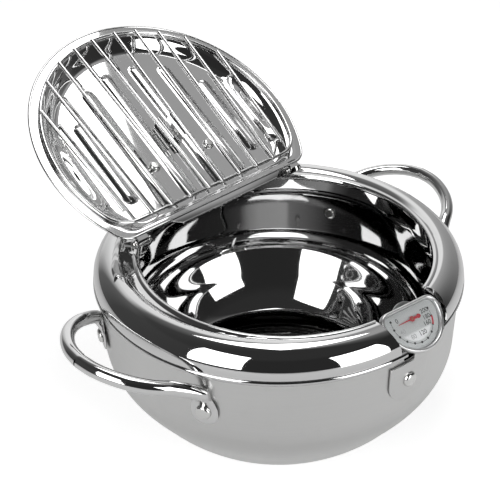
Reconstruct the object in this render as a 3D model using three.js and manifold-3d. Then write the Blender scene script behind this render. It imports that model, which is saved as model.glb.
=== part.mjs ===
// Stainless steel tempura pot with a splash collar, a hinged lid that carries a draining rack,
// and a dial thermometer. Millimetres, +Z up, origin at the centre of the pan's bottom face.
// The front is -Y, the lid hinges at +Y, and the two loop handles point along +X and -X.
import * as THREE from 'three';
import { mergeVertices } from 'three/addons/utils/BufferGeometryUtils.js';
import Module from 'manifold-3d';

const wasm = await Module();
wasm.setup();

const DEG = Math.PI / 180;
const TURN = 2 * Math.PI;

// Running clearances between pieces
const seatGap = 0.3;
const slideGap = 0.6;
const cutOverrun = 2;

// Pan: a spun bowl with a rolled rim
const panWallRadius = 119.2;
const panWall = 1;
const panBaseRadius = 79;
const panShoulderHeight = 60;
const rimHeight = 102.7;
const rimBead = 1.9;
const rimBeadOffset = 0.9;
const panShoulderPull = 15;
const panCornerPull = 4.5;

// Points of the pan's outline, as shares of the wall's radius and the shoulder's height
const coneFootShares = [0.73, 0.0667];
const coneTopShares = [0.8557, 0.3667];
const bellyShares = [0.9362, 0.5667];

// Notch in the pan's rim for the thermometer
const rimNotchWidth = 35;
const rimNotchCentre = 2;
const rimNotchFloor = 95.5;
const rimNotchCorner = 3;

// Loop handles: round rod with flattened tongues, one rivet in each
const rodRadius = 4.3;
const tongueSpread = 24.35 * DEG;
const tongueWidth = 17.4;
const tongueFoot = 66;
const tongueTop = 90;
const tongueThickness = 2.4;
const rivetHeight = 75.5;
const loopBaseRadius = 120;
const loopBaseHeight = 97.2;
const loopReach = 38.6;
const loopHalfWidth = 45.2;
const loopTilt = 19.8 * DEG;
const loopPower = 1.81;
const roundingShare = 0.55;

// Rivets
const rivetHeadRadius = 4;
const rivetHeadHeight = 2.2;
const rivetShankRadius = 2;
const innerHeadHeight = 1.6;

// Splash collar: a spun dome with a D-shaped opening
const collarRadius = 121.3;
const collarSheet = 1;
const collarWaist = 107;
const collarCrest = { radius: 107, height: 120.7 };
const collarFall = 6;
const collarWebHeight = 118.9;
const openingRadius = 94.5;
const openingCentre = -7;
const openingChord = 60;
const openingCorner = 12;
const openingPower = 2.3;
const lipBead = 2.2;
const lipHeight = 118.4;
const skirtDepth = 15;
const locatorDepth = 7;
const collarNotchRadius = 24.6;
const collarNotchCentre = { x: 1.5, y: -108 };

// Hinge between the collar and the lid
const pinY = 54;
const pinZ = 126.6;
const pinRadius = 1.5;
const pinHeadRadius = 2.3;
const pinHeadLength = 1;
const earGap = 9;
const earThickness = 1.2;
const earRadius = 3;
const earDepth = 8;
const hingeInset = 0.8;
const eyeWall = 1;
const lidOpenAngle = 147.4 * DEG;

// Lid: a pressed D-shaped sheet, drawn closed, in the hinge pin's frame
const lidRadius = 100.2;
const lidSheet = 0.8;
const lidDrop = 4.5;
const lidEdgeBead = 0.9;
const lidChordGap = 2.5;
const lidCorner = 14;
const lidFlange = 7;
const lidWellRadius = 78;
const lidWellRise = 7.5;
const lidChordShare = 0.43;

// Pressed channels of the lid: distance from the middle, and of both ends from the hinge
const channelWidth = 10.4;
const channelDepth = 1.6;
const channels = [
  { x: 13, near: 14, far: 128 },
  { x: 34.2, near: 14, far: 120.5 },
  { x: 55.4, near: 28, far: 98 },
  { x: 76.6, near: 28, far: 92 },
];

// Arch handle on the outside of the lid
const archFromHinge = 46.5;
const archRivetX = 24.5;
const archLegX = 34.5;
const archHeight = 27;
const archRodRadius = 3.6;
const archPadRadius = 6.6;
const archPadThickness = 1.6;
const archCorner = 14;

// Draining rack: rim wire and ten straight wires that lean in toward the hinge
const wireRadius = 1.35;
const rackRadius = 92.3;
const rackChordGap = 12;
const rackCorner = 20;
const rackWiresPerSide = 5;
const rackFarFirst = 9.9;
const rackFarPitch = 17;
const rackNearFirst = 6;
const rackNearPitch = 16.5;
const rackTurnShare = 0.75;

// Spring clip that holds the rack in the lid
const clipFromHinge = 65;
const clipLength = 21;
const clipThickness = 0.8;
const clipPinch = 1;

// Dial thermometer: tilted towards the cook, in front of the pan
const dialCentre = { x: 2.1, y: -108.5, z: 112.4 };
const dialTurn = -8.5 * DEG;
const dialTilt = 40 * DEG;
const caseRadius = 21.9;
const caseRise = 1.6;
const caseFlat = 9.4;
const caseCorner = 7;
const caseBack = -1.6;
const caseRim = 2.6;
const caseEdge = 0.8;
const caseRimWidth = 2.2;
const drumRadius = 9.6;
const drumBack = -6;
const drumWall = 1.2;
const dialThickness = 0.5;
const dialFront = 0;
const lensThickness = 0.7;
const stemRadius = 2;
const stemBore = 1.5;
const stemLength = 104;
const stemTipWall = 1;
const spindleRadius = 0.4;
const spindleHole = 0.8;
const needleLevel = 0.9;
const needleLength = 10.6;
const needleTail = 6.6;
const needleHalfWidth = 0.45;
const needleThickness = 0.3;
const hubRadius = 1.7;
const hubHeight = 0.4;
const coilTurns = 9;
const coilRadius = 1.05;
const coilWire = 0.15;
const coilLength = 26;

// Thermometer bracket
const bracketSheet = 1.2;
const bracketTurn = -95.2 * DEG;
const bracketWidth = 31;
const bracketFoot = 67;
const bracketRivetHeight = 82;
const bracketShoulder = 95.4;
const tabTurn = -90.9 * DEG;
const tabWidth = 12.5;
const tabTop = 99;
const tabOffset = -2.1;
const tabReach = 17.6;
const holderRim = 2;

// Facet counts
const spinSteps = 40;
const outlineSteps = 44;
const caseSteps = 32;
const roundSteps = 8;
const smallSteps = 8;
const wireSides = 6;

const steel = (colour, roughness) => new THREE.MeshStandardMaterial({
  color: colour, roughness, metalness: 1,
});
const satinSteel = () => steel(0xb9b9b8, 0.38);
const mirrorSteel = () => steel(0xd4d4d4, 0.06);
const brightSteel = () => steel(0xcfcfcf, 0.15);

// Turns a three.js geometry into a solid for cutting and joining.
function solidOf(geometry) {
  const bare = geometry.clone();
  bare.deleteAttribute('normal');
  bare.deleteAttribute('uv');
  const merged = mergeVertices(bare, 1e-4);
  return new wasm.Manifold(new wasm.Mesh({
    numProp: 3,
    vertProperties: new Float32Array(merged.attributes.position.array),
    triVerts: new Uint32Array(merged.index.array),
  }));
}

// Turns a solid back into a geometry.
function geometryOf(solid) {
  const mesh = solid.getMesh();
  const geometry = new THREE.BufferGeometry();
  geometry.setAttribute('position', new THREE.BufferAttribute(new Float32Array(mesh.vertProperties), 3));
  geometry.setIndex(new THREE.BufferAttribute(new Uint32Array(mesh.triVerts), 1));
  geometry.computeVertexNormals();
  return geometry;
}

const join = (...solids) => solids.reduce((sum, next) => sum.add(next));

function meshOf(name, shape, material) {
  const geometry = shape.isBufferGeometry ? shape : geometryOf(shape);
  const mesh = new THREE.Mesh(geometry, material);
  mesh.name = name;
  return mesh;
}

// Revolves a closed (radius, height) outline about +Z.
function spun(points, steps = spinSteps) {
  const outline = points.map(([r, z]) => new THREE.Vector2(Math.max(r, 0), z));
  const lathe = new THREE.LatheGeometry(outline, steps);
  return lathe.rotateX(Math.PI / 2);
}

// Points of a curve in the (radius, height) half plane.
const curvePoints = (curve, steps) => curve.getPoints(steps).map((p) => [p.x, p.y]);

// Moves an open outline sideways by a distance, to its left as it runs.
function offsetOutline(points, distance) {
  return points.map((point, i) => {
    const before = points[Math.max(i - 1, 0)];
    const after = points[Math.min(i + 1, points.length - 1)];
    const dx = after[0] - before[0];
    const dy = after[1] - before[1];
    const length = Math.hypot(dx, dy);
    return [point[0] - dy / length * distance, point[1] + dx / length * distance];
  });
}

function arcPoints(cx, cy, radius, from, to, steps) {
  return Array.from({ length: steps + 1 }, (_, i) => {
    const angle = from + (to - from) * i / steps;
    return [cx + radius * Math.cos(angle), cy + radius * Math.sin(angle)];
  });
}

// A round rod along a curve.
function rod(curve, radius, steps, closed = false, sides = roundSteps) {
  const section = new THREE.Shape();
  section.absarc(0, 0, radius, 0, TURN, false);
  return new THREE.ExtrudeGeometry(section, {
    extrudePath: curve, steps, curveSegments: sides / 2, bevelEnabled: false, closed,
  });
}

const straight = (from, to) => new THREE.LineCurve3(from, to);

// A disc or short rod along +Z between two heights.
function post(radius, from, to, steps = smallSteps) {
  return spun([[0, from], [radius, from], [radius, to], [0, to]], steps);
}

// A flat plate from a closed 2-D shape, between two heights.
function plate(shape, from, to, segments = roundSteps) {
  const geometry = new THREE.ExtrudeGeometry(shape, {
    depth: to - from, bevelEnabled: false, curveSegments: segments,
  });
  return geometry.translate(0, 0, from);
}

// D-shaped outline about the origin: a circle cut by a chord towards +Y, with rounded corners.
// Counter-clockwise, with the same number of points whatever its size.
function dOutline(radius, chord, corner, steps = outlineSteps) {
  const cornerY = chord - corner;
  const cornerX = Math.sqrt((radius - corner) ** 2 - cornerY ** 2);
  const turn = Math.atan2(cornerY, cornerX);
  const chordSteps = 6;
  const cornerSteps = 6;
  const sweepSteps = steps - chordSteps - 2 * cornerSteps;
  const right = arcPoints(cornerX, cornerY, corner, turn, Math.PI / 2, cornerSteps);
  const left = arcPoints(-cornerX, cornerY, corner, Math.PI / 2, Math.PI - turn, cornerSteps);
  const sweep = arcPoints(0, 0, radius, Math.PI - turn, TURN + turn, sweepSteps);
  const flat = Array.from({ length: chordSteps - 1 }, (_, i) => {
    const share = (i + 1) / chordSteps;
    return [cornerX * (1 - 2 * share), chord];
  });
  return [...right, ...flat, ...left, ...sweep.slice(1, -1)];
}

// The collar's opening is fuller than a circle beside its chord.
function openingOutline(inset) {
  const radius = openingRadius - inset;
  return dOutline(radius, openingChord - inset, openingCorner - inset).map(([x, y]) => {
    if (y <= 0) {
      return [x, y];
    }
    const plain = Math.sqrt(Math.max(radius ** 2 - y ** 2, 0));
    const full = radius * (1 - (y / radius) ** openingPower) ** (1 / openingPower);
    return [x * full / plain, y];
  });
}

function shapeOf(points) {
  return new THREE.Shape(points.map(([x, y]) => new THREE.Vector2(x, y)));
}

// A closed skin through rings of equal point counts, each ring at its own height, ends capped.
function loft(rings) {
  const count = rings[0].points.length;
  const position = [];
  const index = [];
  rings.forEach(({ points, z }) => points.forEach(([x, y]) => position.push(x, y, z)));
  for (let r = 0; r < rings.length - 1; r += 1) {
    for (let i = 0; i < count; i += 1) {
      const a = r * count + i;
      const b = r * count + (i + 1) % count;
      index.push(a, b, b + count, a, b + count, a + count);
    }
  }
  const cap = (ring, flip) => {
    const flat = ring.points.map(([x, y]) => new THREE.Vector2(x, y));
    const base = rings.indexOf(ring) * count;
    THREE.ShapeUtils.triangulateShape(flat, []).forEach(([a, b, c]) => {
      index.push(...(flip ? [base + c, base + b, base + a] : [base + a, base + b, base + c]));
    });
  };
  cap(rings[0], true);
  cap(rings[rings.length - 1], false);
  const geometry = new THREE.BufferGeometry();
  geometry.setAttribute('position', new THREE.Float32BufferAttribute(position, 3));
  geometry.setIndex(index);
  return geometry;
}

// Carries a closed (outward, height) section round a closed counter-clockwise outline.
function swept(outline, section) {
  const count = section.length;
  const position = [];
  const index = [];
  outline.forEach(([x, y], i) => {
    const before = outline.at(i - 1);
    const after = outline[(i + 1) % outline.length];
    const dx = after[0] - before[0];
    const dy = after[1] - before[1];
    const length = Math.hypot(dx, dy);
    section.forEach(([out, z]) => position.push(x + dy / length * out, y - dx / length * out, z));
    section.forEach((_, j) => {
      const next = (i + 1) % outline.length;
      const a = i * count + j;
      const b = next * count + j;
      const c = next * count + (j + 1) % count;
      const d = i * count + (j + 1) % count;
      index.push(a, b, c, a, c, d);
    });
  });
  const geometry = new THREE.BufferGeometry();
  geometry.setAttribute('position', new THREE.Float32BufferAttribute(position, 3));
  geometry.setIndex(index);
  return geometry;
}

// A domed rivet along +Z: head outside, shank through the stack, small head inside.
function rivet(stack, headRadius = rivetHeadRadius) {
  const dome = (height, from, to, base, steps) => arcPoints(0, 0, 1, from, to, steps)
    .map(([c, s]) => [headRadius * c, base + height * s]);
  return spun([
    ...dome(innerHeadHeight, -Math.PI / 2, 0, -seatGap, 2),
    [rivetShankRadius, -seatGap],
    [rivetShankRadius, stack + seatGap],
    ...dome(rivetHeadHeight, 0, Math.PI / 2, stack + seatGap, 3),
  ], smallSteps);
}

// Places something made along +Z so that it points out from the pot's axis at an azimuth.
function facingOut(object, azimuth, radius, z) {
  object.rotation.set(0, Math.PI / 2, azimuth, 'ZYX');
  object.position.set(radius * Math.cos(azimuth), radius * Math.sin(azimuth), z);
  return object;
}

// Cuts a radial hole for a rivet's shank.
function shankHole(azimuth, z, from, to) {
  const direction = new THREE.Vector3(Math.cos(azimuth), Math.sin(azimuth), 0);
  const start = direction.clone().multiplyScalar(from).setZ(z);
  const end = direction.clone().multiplyScalar(to).setZ(z);
  return solidOf(rod(straight(start, end), rivetShankRadius + seatGap, 1, false, smallSteps));
}

const wallInside = panWallRadius - panWall;
const wallSeat = wallInside * Math.cos(Math.PI / spinSteps);
const rivetTurns = [tongueSpread, -tongueSpread, Math.PI - tongueSpread, Math.PI + tongueSpread];

// Pan body
function panOutline() {
  const at = ([across, up]) => new THREE.Vector2(across * panWallRadius, up * panShoulderHeight);
  const corner = new THREE.QuadraticBezierCurve(
    new THREE.Vector2(panBaseRadius, 0),
    new THREE.Vector2(panBaseRadius + panCornerPull, 0),
    at(coneFootShares),
  );
  const bend = new THREE.CubicBezierCurve(
    at(coneTopShares),
    at(bellyShares),
    new THREE.Vector2(panWallRadius, panShoulderHeight - panShoulderPull),
    new THREE.Vector2(panWallRadius, panShoulderHeight),
  );
  return [...curvePoints(corner, 2), ...curvePoints(bend, 4)];
}

function panBody() {
  const outer = panOutline();
  const inner = offsetOutline(outer, panWall).reverse();
  const beadCentre = panWallRadius + rimBeadOffset;
  const beadStart = -Math.acos(-rimBeadOffset / rimBead);
  const bead = arcPoints(beadCentre, rimHeight, rimBead, beadStart, Math.PI, 6);
  const body = solidOf(spun([
    [0, 0],
    ...outer,
    ...bead.slice(0, -1),
    [wallInside, rimHeight],
    ...inner.slice(0, -1),
    [inner[inner.length - 1][0], panWall],
    [0, panWall],
  ]));
  const half = rimNotchWidth / 2;
  const top = rimHeight + rimBead + cutOverrun;
  const turnHeight = rimNotchFloor + rimNotchCorner;
  const notch = new THREE.Shape();
  notch.moveTo(-half, top);
  notch.lineTo(-half, turnHeight);
  notch.absarc(-half + rimNotchCorner, turnHeight, rimNotchCorner, Math.PI, Math.PI * 1.5, false);
  notch.absarc(half - rimNotchCorner, turnHeight, rimNotchCorner, Math.PI * 1.5, TURN, false);
  notch.lineTo(half, top);
  const cutter = plate(notch, wallInside - 4 * cutOverrun, panWallRadius + 2 * rimBead + cutOverrun, 2)
    .rotateX(Math.PI / 2)
    .translate(rimNotchCentre, 0, 0);
  const holes = rivetTurns.map((turn) => shankHole(turn, rivetHeight, wallInside - cutOverrun,
    panWallRadius + cutOverrun));
  holes.push(shankHole(bracketTurn, bracketRivetHeight, wallInside - cutOverrun,
    panWallRadius + cutOverrun));
  return holes.reduce((pan, hole) => pan.subtract(hole), body.subtract(solidOf(cutter)));
}

// Loop handle on the +X side
function loopCurve() {
  const seatRadius = panWallRadius + seatGap + rodRadius;
  const legHeights = [tongueTop - rodRadius / 2, tongueTop + rodRadius / 2];
  const legs = legHeights.map((z) => new THREE.Vector3(
    seatRadius * Math.cos(tongueSpread), seatRadius * Math.sin(tongueSpread), z,
  ));
  const reachShares = [0.24, 0.5, 0.76, 0.94];
  const side = reachShares.map((share) => {
    const reach = loopReach * share;
    const half = loopHalfWidth * (1 - share ** loopPower) ** (1 / loopPower);
    return new THREE.Vector3(
      loopBaseRadius + reach * Math.cos(loopTilt), half, loopBaseHeight + reach * Math.sin(loopTilt),
    );
  });
  const apex = new THREE.Vector3(
    loopBaseRadius + loopReach * Math.cos(loopTilt), 0, loopBaseHeight + loopReach * Math.sin(loopTilt),
  );
  const half = [...legs, ...side];
  const mirrored = half.map((p) => new THREE.Vector3(p.x, -p.y, p.z)).reverse();
  return new THREE.CatmullRomCurve3([...half, apex, ...mirrored], false, 'centripetal');
}

function tongue(azimuth) {
  const inner = panWallRadius + seatGap;
  const full = tongueWidth / 2;
  const flat = tongueThickness / 2;
  const spread = rodRadius - flat;
  const stationShares = [
    [0, 0.3, 0.7], [0.05, 0.62, 1], [0.15, 0.88, 1], [0.35, 1, 1], [0.55, 0.96, 1],
    [0.72, 0.76, 1], [0.86, 0.56, 1], [1, 0, 1],
  ];
  const rings = stationShares.map(([rise, widthShare, depthShare]) => {
    const round = Math.max((rise - roundingShare) / (1 - roundingShare), 0);
    const halfWidth = widthShare === 0 ? rodRadius : full * widthShare;
    const halfDepth = (flat + spread * round) * depthShare;
    const points = arcPoints(0, 0, 1, 0, TURN * 9 / 10, 9).map(([c, s]) => {
      const square = 1 / (1 - 0.5 * (1 - round) * (2 * c * s) ** 2) ** 0.5;
      return [inner + halfDepth * (1 + c * Math.min(square, 1 / Math.max(Math.abs(c), Math.abs(s)))),
        halfWidth * s * Math.min(square, 1 / Math.max(Math.abs(c), Math.abs(s)))];
    });
    return { points, z: tongueFoot + (tongueTop - tongueFoot) * rise };
  });
  return solidOf(loft(rings).rotateZ(azimuth));
}

function loopHandle() {
  const bar = solidOf(rod(loopCurve(), rodRadius, 20));
  const solid = join(bar, tongue(tongueSpread), tongue(-tongueSpread));
  const from = panWallRadius - cutOverrun;
  const to = panWallRadius + 2 * rodRadius;
  return [tongueSpread, -tongueSpread].reduce(
    (handle, turn) => handle.subtract(shankHole(turn, rivetHeight, from, to)), solid,
  );
}

// Where the hinge stands: behind the opening's lip, with its corners on the flat web
const collarWebRadius = collarCrest.radius - collarFall;
const hingeFront = openingCentre + openingChord + 2 * lipBead + seatGap;
const hingeBack = hingeFront + earDepth;
const pinX = Math.sqrt((collarWebRadius - hingeInset) ** 2 - hingeBack ** 2) - earThickness - earGap / 2;

// Splash collar
function collarOutline() {
  const shoulder = new THREE.CubicBezierCurve(
    new THREE.Vector2(collarRadius, collarWaist),
    new THREE.Vector2(collarRadius - collarSheet / 2, (collarWaist + collarCrest.height) / 2),
    new THREE.Vector2((collarRadius + collarCrest.radius) / 2, collarCrest.height),
    new THREE.Vector2(collarCrest.radius, collarCrest.height),
  );
  const fall = new THREE.QuadraticBezierCurve(
    new THREE.Vector2(collarCrest.radius, collarCrest.height),
    new THREE.Vector2((collarCrest.radius + collarWebRadius) / 2, collarCrest.height),
    new THREE.Vector2(collarWebRadius, collarWebHeight),
  );
  return [
    [collarRadius, rimHeight + rimBead + seatGap],
    ...curvePoints(shoulder, 4),
    ...curvePoints(fall, 2).slice(1),
  ];
}

function collar() {
  const outer = collarOutline();
  const under = offsetOutline(outer, collarSheet).reverse();
  const seat = rimHeight + rimBead + seatGap;
  const locator = wallInside - slideGap;
  const shell = solidOf(spun([
    [0, collarWebHeight - collarSheet],
    ...under.slice(0, -2),
    [collarRadius - collarSheet, seat + collarSheet],
    [locator - collarSheet, seat + collarSheet],
    [locator - collarSheet, seat - locatorDepth],
    [locator, seat - locatorDepth],
    [locator, seat],
    ...outer,
    [0, collarWebHeight],
  ]));
  const bottom = lipHeight - skirtDepth;
  const high = collarCrest.height + cutOverrun;
  const root = Math.asin(collarSheet / 2 / lipBead);
  const lip = solidOf(swept(openingOutline(-lipBead), [
    ...arcPoints(0, lipHeight, lipBead, root - Math.PI / 2, Math.PI * 1.5 - root, 6),
    [-collarSheet / 2, bottom],
    [collarSheet / 2, bottom],
  ]).translate(0, openingCentre, 0));
  const hole = solidOf(plate(shapeOf(openingOutline(-lipBead * 0.7)), bottom, high)
    .translate(0, openingCentre, 0));
  const notch = solidOf(post(collarNotchRadius, seat - locatorDepth - cutOverrun, high, 36)
    .translate(collarNotchCentre.x, collarNotchCentre.y, 0));
  const filled = solidOf(spun([[0, seat], ...outer, [0, collarWebHeight]]));
  const inside = solidOf(plate(shapeOf(openingOutline(-lipBead)), seat - cutOverrun, high)
    .translate(0, openingCentre, 0));
  const notchWall = solidOf(post(collarNotchRadius + collarSheet, seat, high, 36)
    .translate(collarNotchCentre.x, collarNotchCentre.y, 0))
    .intersect(filled)
    .subtract(inside);
  return shell.subtract(hole).add(lip).add(notchWall).subtract(notch);
}

// Hinge ears on the collar, one bent plate with two ears on each side
function hingeBracket(side) {
  const foot = collarWebHeight + seatGap;
  const upper = Math.PI / 3;
  const lower = Math.PI * 1.4;
  const ear = new THREE.Shape();
  ear.moveTo(hingeFront, foot);
  ear.lineTo(hingeBack, foot);
  ear.lineTo(hingeBack, foot + 2 * earThickness);
  ear.absarc(pinY, pinZ, earRadius, upper, lower, false);
  ear.lineTo(hingeFront, foot + 2 * earThickness);
  const upright = (x) => solidOf(plate(ear, x, x + earThickness, 4)
    .rotateX(Math.PI / 2)
    .rotateZ(Math.PI / 2));
  const inner = side * pinX - earGap / 2 - earThickness;
  const outer = side * pinX + earGap / 2;
  const base = new THREE.BoxGeometry(earGap + 2 * earThickness, earDepth, earThickness);
  base.translate(side * pinX, hingeFront + earDepth / 2, foot + earThickness / 2);
  const reach = earGap + cutOverrun;
  const bore = solidOf(rod(straight(
    new THREE.Vector3(side * pinX - reach, pinY, pinZ),
    new THREE.Vector3(side * pinX + reach, pinY, pinZ),
  ), pinRadius + seatGap, 1, false, smallSteps));
  return join(upright(inner), upright(outer), solidOf(base)).subtract(bore);
}

function hingePin(side) {
  const half = earGap / 2 + earThickness + seatGap;
  const shank = post(pinRadius, -half, half);
  const heads = [
    solidOf(post(pinHeadRadius, half, half + pinHeadLength)),
    solidOf(post(pinHeadRadius, -half - pinHeadLength, -half)),
  ];
  const solid = join(solidOf(shank), ...heads);
  return geometryOf(solid).rotateY(Math.PI / 2).translate(side * pinX, pinY, pinZ);
}

// Lid, in the hinge frame: x along the pin, -y away from the hinge when closed, z up
const lidCentreY = openingCentre - pinY;
const lidChord = -lidCentreY - lidChordGap;
const flangeTop = -lidDrop + lidSheet / 2;
const wellTop = flangeTop + lidWellRise;

function lidSkin(inset) {
  const flange = lidRadius - lidFlange;
  const wallSteps = 3;
  const rings = [];
  const d = (radius) => dOutline(radius, lidChord - (lidRadius - radius) * lidChordShare,
    lidCorner * radius / lidRadius);
  const edge = lidRadius - lidEdgeBead;
  if (inset === 0) {
    arcPoints(edge, flangeTop - lidSheet / 2, lidEdgeBead, -Math.PI / 2, Math.PI / 2, 3)
      .forEach(([r, z]) => rings.push({ points: d(r), z }));
  } else {
    rings.push({ points: d(edge - lidEdgeBead), z: flangeTop - lidSheet - cutOverrun });
    rings.push({ points: d(edge - lidEdgeBead), z: flangeTop - lidSheet });
  }
  for (let i = 0; i <= wallSteps; i += 1) {
    const share = i / wallSteps;
    const radius = flange + (lidWellRadius - flange) * share - inset * Math.sin(share * Math.PI / 2);
    const rise = lidWellRise * Math.sin(share * Math.PI / 2);
    rings.push({ points: d(radius), z: flangeTop + rise - inset });
  }
  return solidOf(loft(rings));
}

// Outline of one channel, round at both ends
function channelBar({ x, near, far }, side, inset) {
  const round = channelWidth / 2;
  const shape = new THREE.Shape();
  shape.absarc(side * x, -near - round, round - inset, 0, Math.PI, false);
  shape.absarc(side * x, round - far, round - inset, Math.PI, TURN, false);
  return shape;
}

function lidShell() {
  const outside = lidSkin(0).translate([0, lidCentreY, 0]);
  let lid = outside.subtract(lidSkin(lidSheet).translate([0, lidCentreY, 0]));
  const floor = wellTop - lidSheet;
  const through = (x, y) => solidOf(post(rivetShankRadius + seatGap, floor - cutOverrun,
    wellTop + channelDepth + cutOverrun).translate(x, y, 0));
  [-1, 1].forEach((side) => {
    channels.forEach((channel) => {
      const bulge = solidOf(plate(channelBar(channel, side, 0), floor - channelDepth, wellTop, 3));
      const groove = solidOf(plate(channelBar(channel, side, lidSheet), wellTop - channelDepth,
        wellTop + cutOverrun, 3));
      lid = lid.add(bulge.intersect(outside)).subtract(groove);
    });
    lid = lid.add(hingeEye(side));
    lid = lid.subtract(through(side * archRivetX, -archFromHinge));
  });
  return lid.subtract(through(0, -clipFromHinge));
}

function hingeEye(side) {
  const bore = pinRadius + seatGap;
  const outer = bore + eyeWall;
  const width = earGap - 2 * slideGap;
  const root = -lidChordGap - 3 * lidSheet;
  const start = -Math.PI / 5;
  const shape = new THREE.Shape();
  shape.moveTo(root, flangeTop);
  shape.lineTo(root, flangeTop - lidSheet);
  shape.lineTo(lidSheet, flangeTop - lidSheet);
  shape.absarc(0, 0, outer, start, Math.PI, false);
  const hole = new THREE.Path();
  hole.absarc(0, 0, bore, 0, TURN, true);
  shape.holes.push(hole);
  const from = side * pinX - width / 2;
  return solidOf(plate(shape, from, from + width, 6).rotateX(Math.PI / 2).rotateZ(Math.PI / 2));
}

// Arch handle on the lid's outside
function lidHandle() {
  const foot = wellTop + seatGap;
  const top = foot + archHeight;
  const at = (x, z) => new THREE.Vector3(x, -archFromHinge, z);
  const bend = (side, from, to) => new THREE.QuadraticBezierCurve3(
    at(side * from[0], from[1]), at(side * archLegX, top), at(side * to[0], to[1]),
  );
  const shoulder = [archLegX - archCorner, top];
  const leg = [archLegX, top - archCorner];
  const start = foot + archPadThickness / 2;
  const path = new THREE.CurvePath();
  path.add(straight(at(-archLegX, start), at(-leg[0], leg[1])));
  path.add(bend(-1, leg, shoulder));
  path.add(straight(at(-shoulder[0], top), at(shoulder[0], top)));
  path.add(bend(1, shoulder, leg));
  path.add(straight(at(leg[0], leg[1]), at(archLegX, start)));
  const bar = solidOf(rod(path, archRodRadius, 22));
  const pad = new THREE.Shape();
  pad.absarc(archRivetX, 0, archPadRadius, Math.PI / 2, Math.PI * 1.5, false);
  pad.absarc(archLegX, 0, archRodRadius, -Math.PI / 2, Math.PI / 2, false);
  const hole = new THREE.Path();
  hole.absarc(archRivetX, 0, rivetShankRadius + seatGap, 0, TURN, true);
  pad.holes.push(hole);
  const pads = [0, Math.PI].map((turn) => solidOf(plate(pad, foot, foot + archPadThickness, 5)
    .rotateZ(turn)
    .translate(0, -archFromHinge, 0)));
  return join(bar, ...pads);
}

// Draining rack
const rackLevel = -lidDrop - lidSheet / 2 - seatGap - wireRadius;
const rackChord = -lidCentreY - rackChordGap;

function wireRack() {
  const rim = swept(
    dOutline(rackRadius, rackChord, rackCorner),
    arcPoints(0, rackLevel, wireRadius, 0, TURN * 5 / 6, 5),
  ).translate(0, lidCentreY, 0);
  let rack = solidOf(rim);
  for (let i = 0; i < rackWiresPerSide; i += 1) {
    [-1, 1].forEach((side) => {
      const farX = side * (rackFarFirst + rackFarPitch * i);
      const nearX = side * (rackNearFirst + rackNearPitch * i);
      const farY = lidCentreY - Math.sqrt(rackRadius ** 2 - farX ** 2);
      const nearest = Math.max(Math.abs(nearX) - (rackRadius - rackCorner) * rackTurnShare, 0);
      const nearY = lidCentreY + rackChord - nearest * nearest / (2 * rackCorner);
      const level = rackLevel - wireRadius;
      const wire = rod(straight(
        new THREE.Vector3(farX, farY, level), new THREE.Vector3(nearX, nearY, level),
      ), wireRadius, 1, false, wireSides);
      rack = rack.add(solidOf(wire));
    });
  }
  return rack;
}

// Spring clip: a channel that presses outwards on the two middle wires
function rackClip() {
  const along = (clipFromHinge - clipLength / 2 - rackChordGap) / (rackRadius - lidCentreY - rackChordGap);
  const half = rackNearFirst + (rackFarFirst - rackNearFirst) * along - wireRadius - seatGap;
  const ceiling = wellTop - lidSheet - seatGap;
  const mouth = rackLevel - 2 * wireRadius - seatGap;
  const throat = half - clipPinch;
  const profile = shapeOf([
    [throat, ceiling], [throat, rackLevel + wireRadius], [half, rackLevel - wireRadius],
    [throat, mouth], [throat - clipThickness, mouth],
    [half - clipThickness, rackLevel - wireRadius], [throat - clipThickness, rackLevel + wireRadius],
    [throat - clipThickness, ceiling - clipThickness],
    [clipThickness - throat, ceiling - clipThickness],
    [clipThickness - throat, rackLevel + wireRadius], [clipThickness - half, rackLevel - wireRadius],
    [clipThickness - throat, mouth], [-throat, mouth],
    [-half, rackLevel - wireRadius], [-throat, rackLevel + wireRadius], [-throat, ceiling],
  ].reverse());
  const body = plate(profile, -clipLength / 2, clipLength / 2).rotateX(Math.PI / 2);
  const hole = solidOf(post(rivetShankRadius + seatGap, ceiling - 2 * clipThickness, ceiling + cutOverrun));
  return solidOf(body).subtract(hole).translate([0, -clipFromHinge, 0]);
}

// Thermometer, in the dial's frame: x right, y up the dial, z out of its face
function caseShape(inset) {
  const radius = caseRadius - inset;
  return dOutline(radius, caseFlat - caseRise - inset, caseCorner - inset, caseSteps)
    .map(([x, y]) => [x, y + caseRise]);
}

function thermometerCase() {
  const bezel = solidOf(loft([
    { points: caseShape(caseEdge), z: caseBack },
    { points: caseShape(0), z: caseBack + caseEdge },
    { points: caseShape(0), z: caseRim - caseEdge },
    { points: caseShape(caseEdge), z: caseRim },
  ]));
  const drum = solidOf(post(drumRadius, drumBack, caseBack + caseEdge / 2, 24));
  const wellFloor = dialFront - dialThickness - seatGap;
  const well = solidOf(plate(shapeOf(caseShape(caseRimWidth)), wellFloor, caseRim + cutOverrun));
  const hollow = solidOf(post(drumRadius - drumWall, drumBack + drumWall, caseRim, 24));
  const bore = solidOf(post(stemBore, drumBack - cutOverrun, caseRim));
  return join(bezel, drum).subtract(well).subtract(hollow).subtract(bore);
}

function dialFace() {
  const plateSolid = solidOf(plate(shapeOf(caseShape(caseRimWidth + seatGap)), dialFront - dialThickness,
    dialFront));
  return plateSolid.subtract(solidOf(post(spindleHole, -cutOverrun, cutOverrun)));
}

function lens() {
  const top = caseRim - seatGap;
  return solidOf(loft([
    { points: caseShape(caseRimWidth + seatGap), z: top - lensThickness },
    { points: caseShape(caseRimWidth + seatGap), z: top - seatGap },
    { points: caseShape(caseRimWidth + 2 * seatGap), z: top },
  ]));
}

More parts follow.
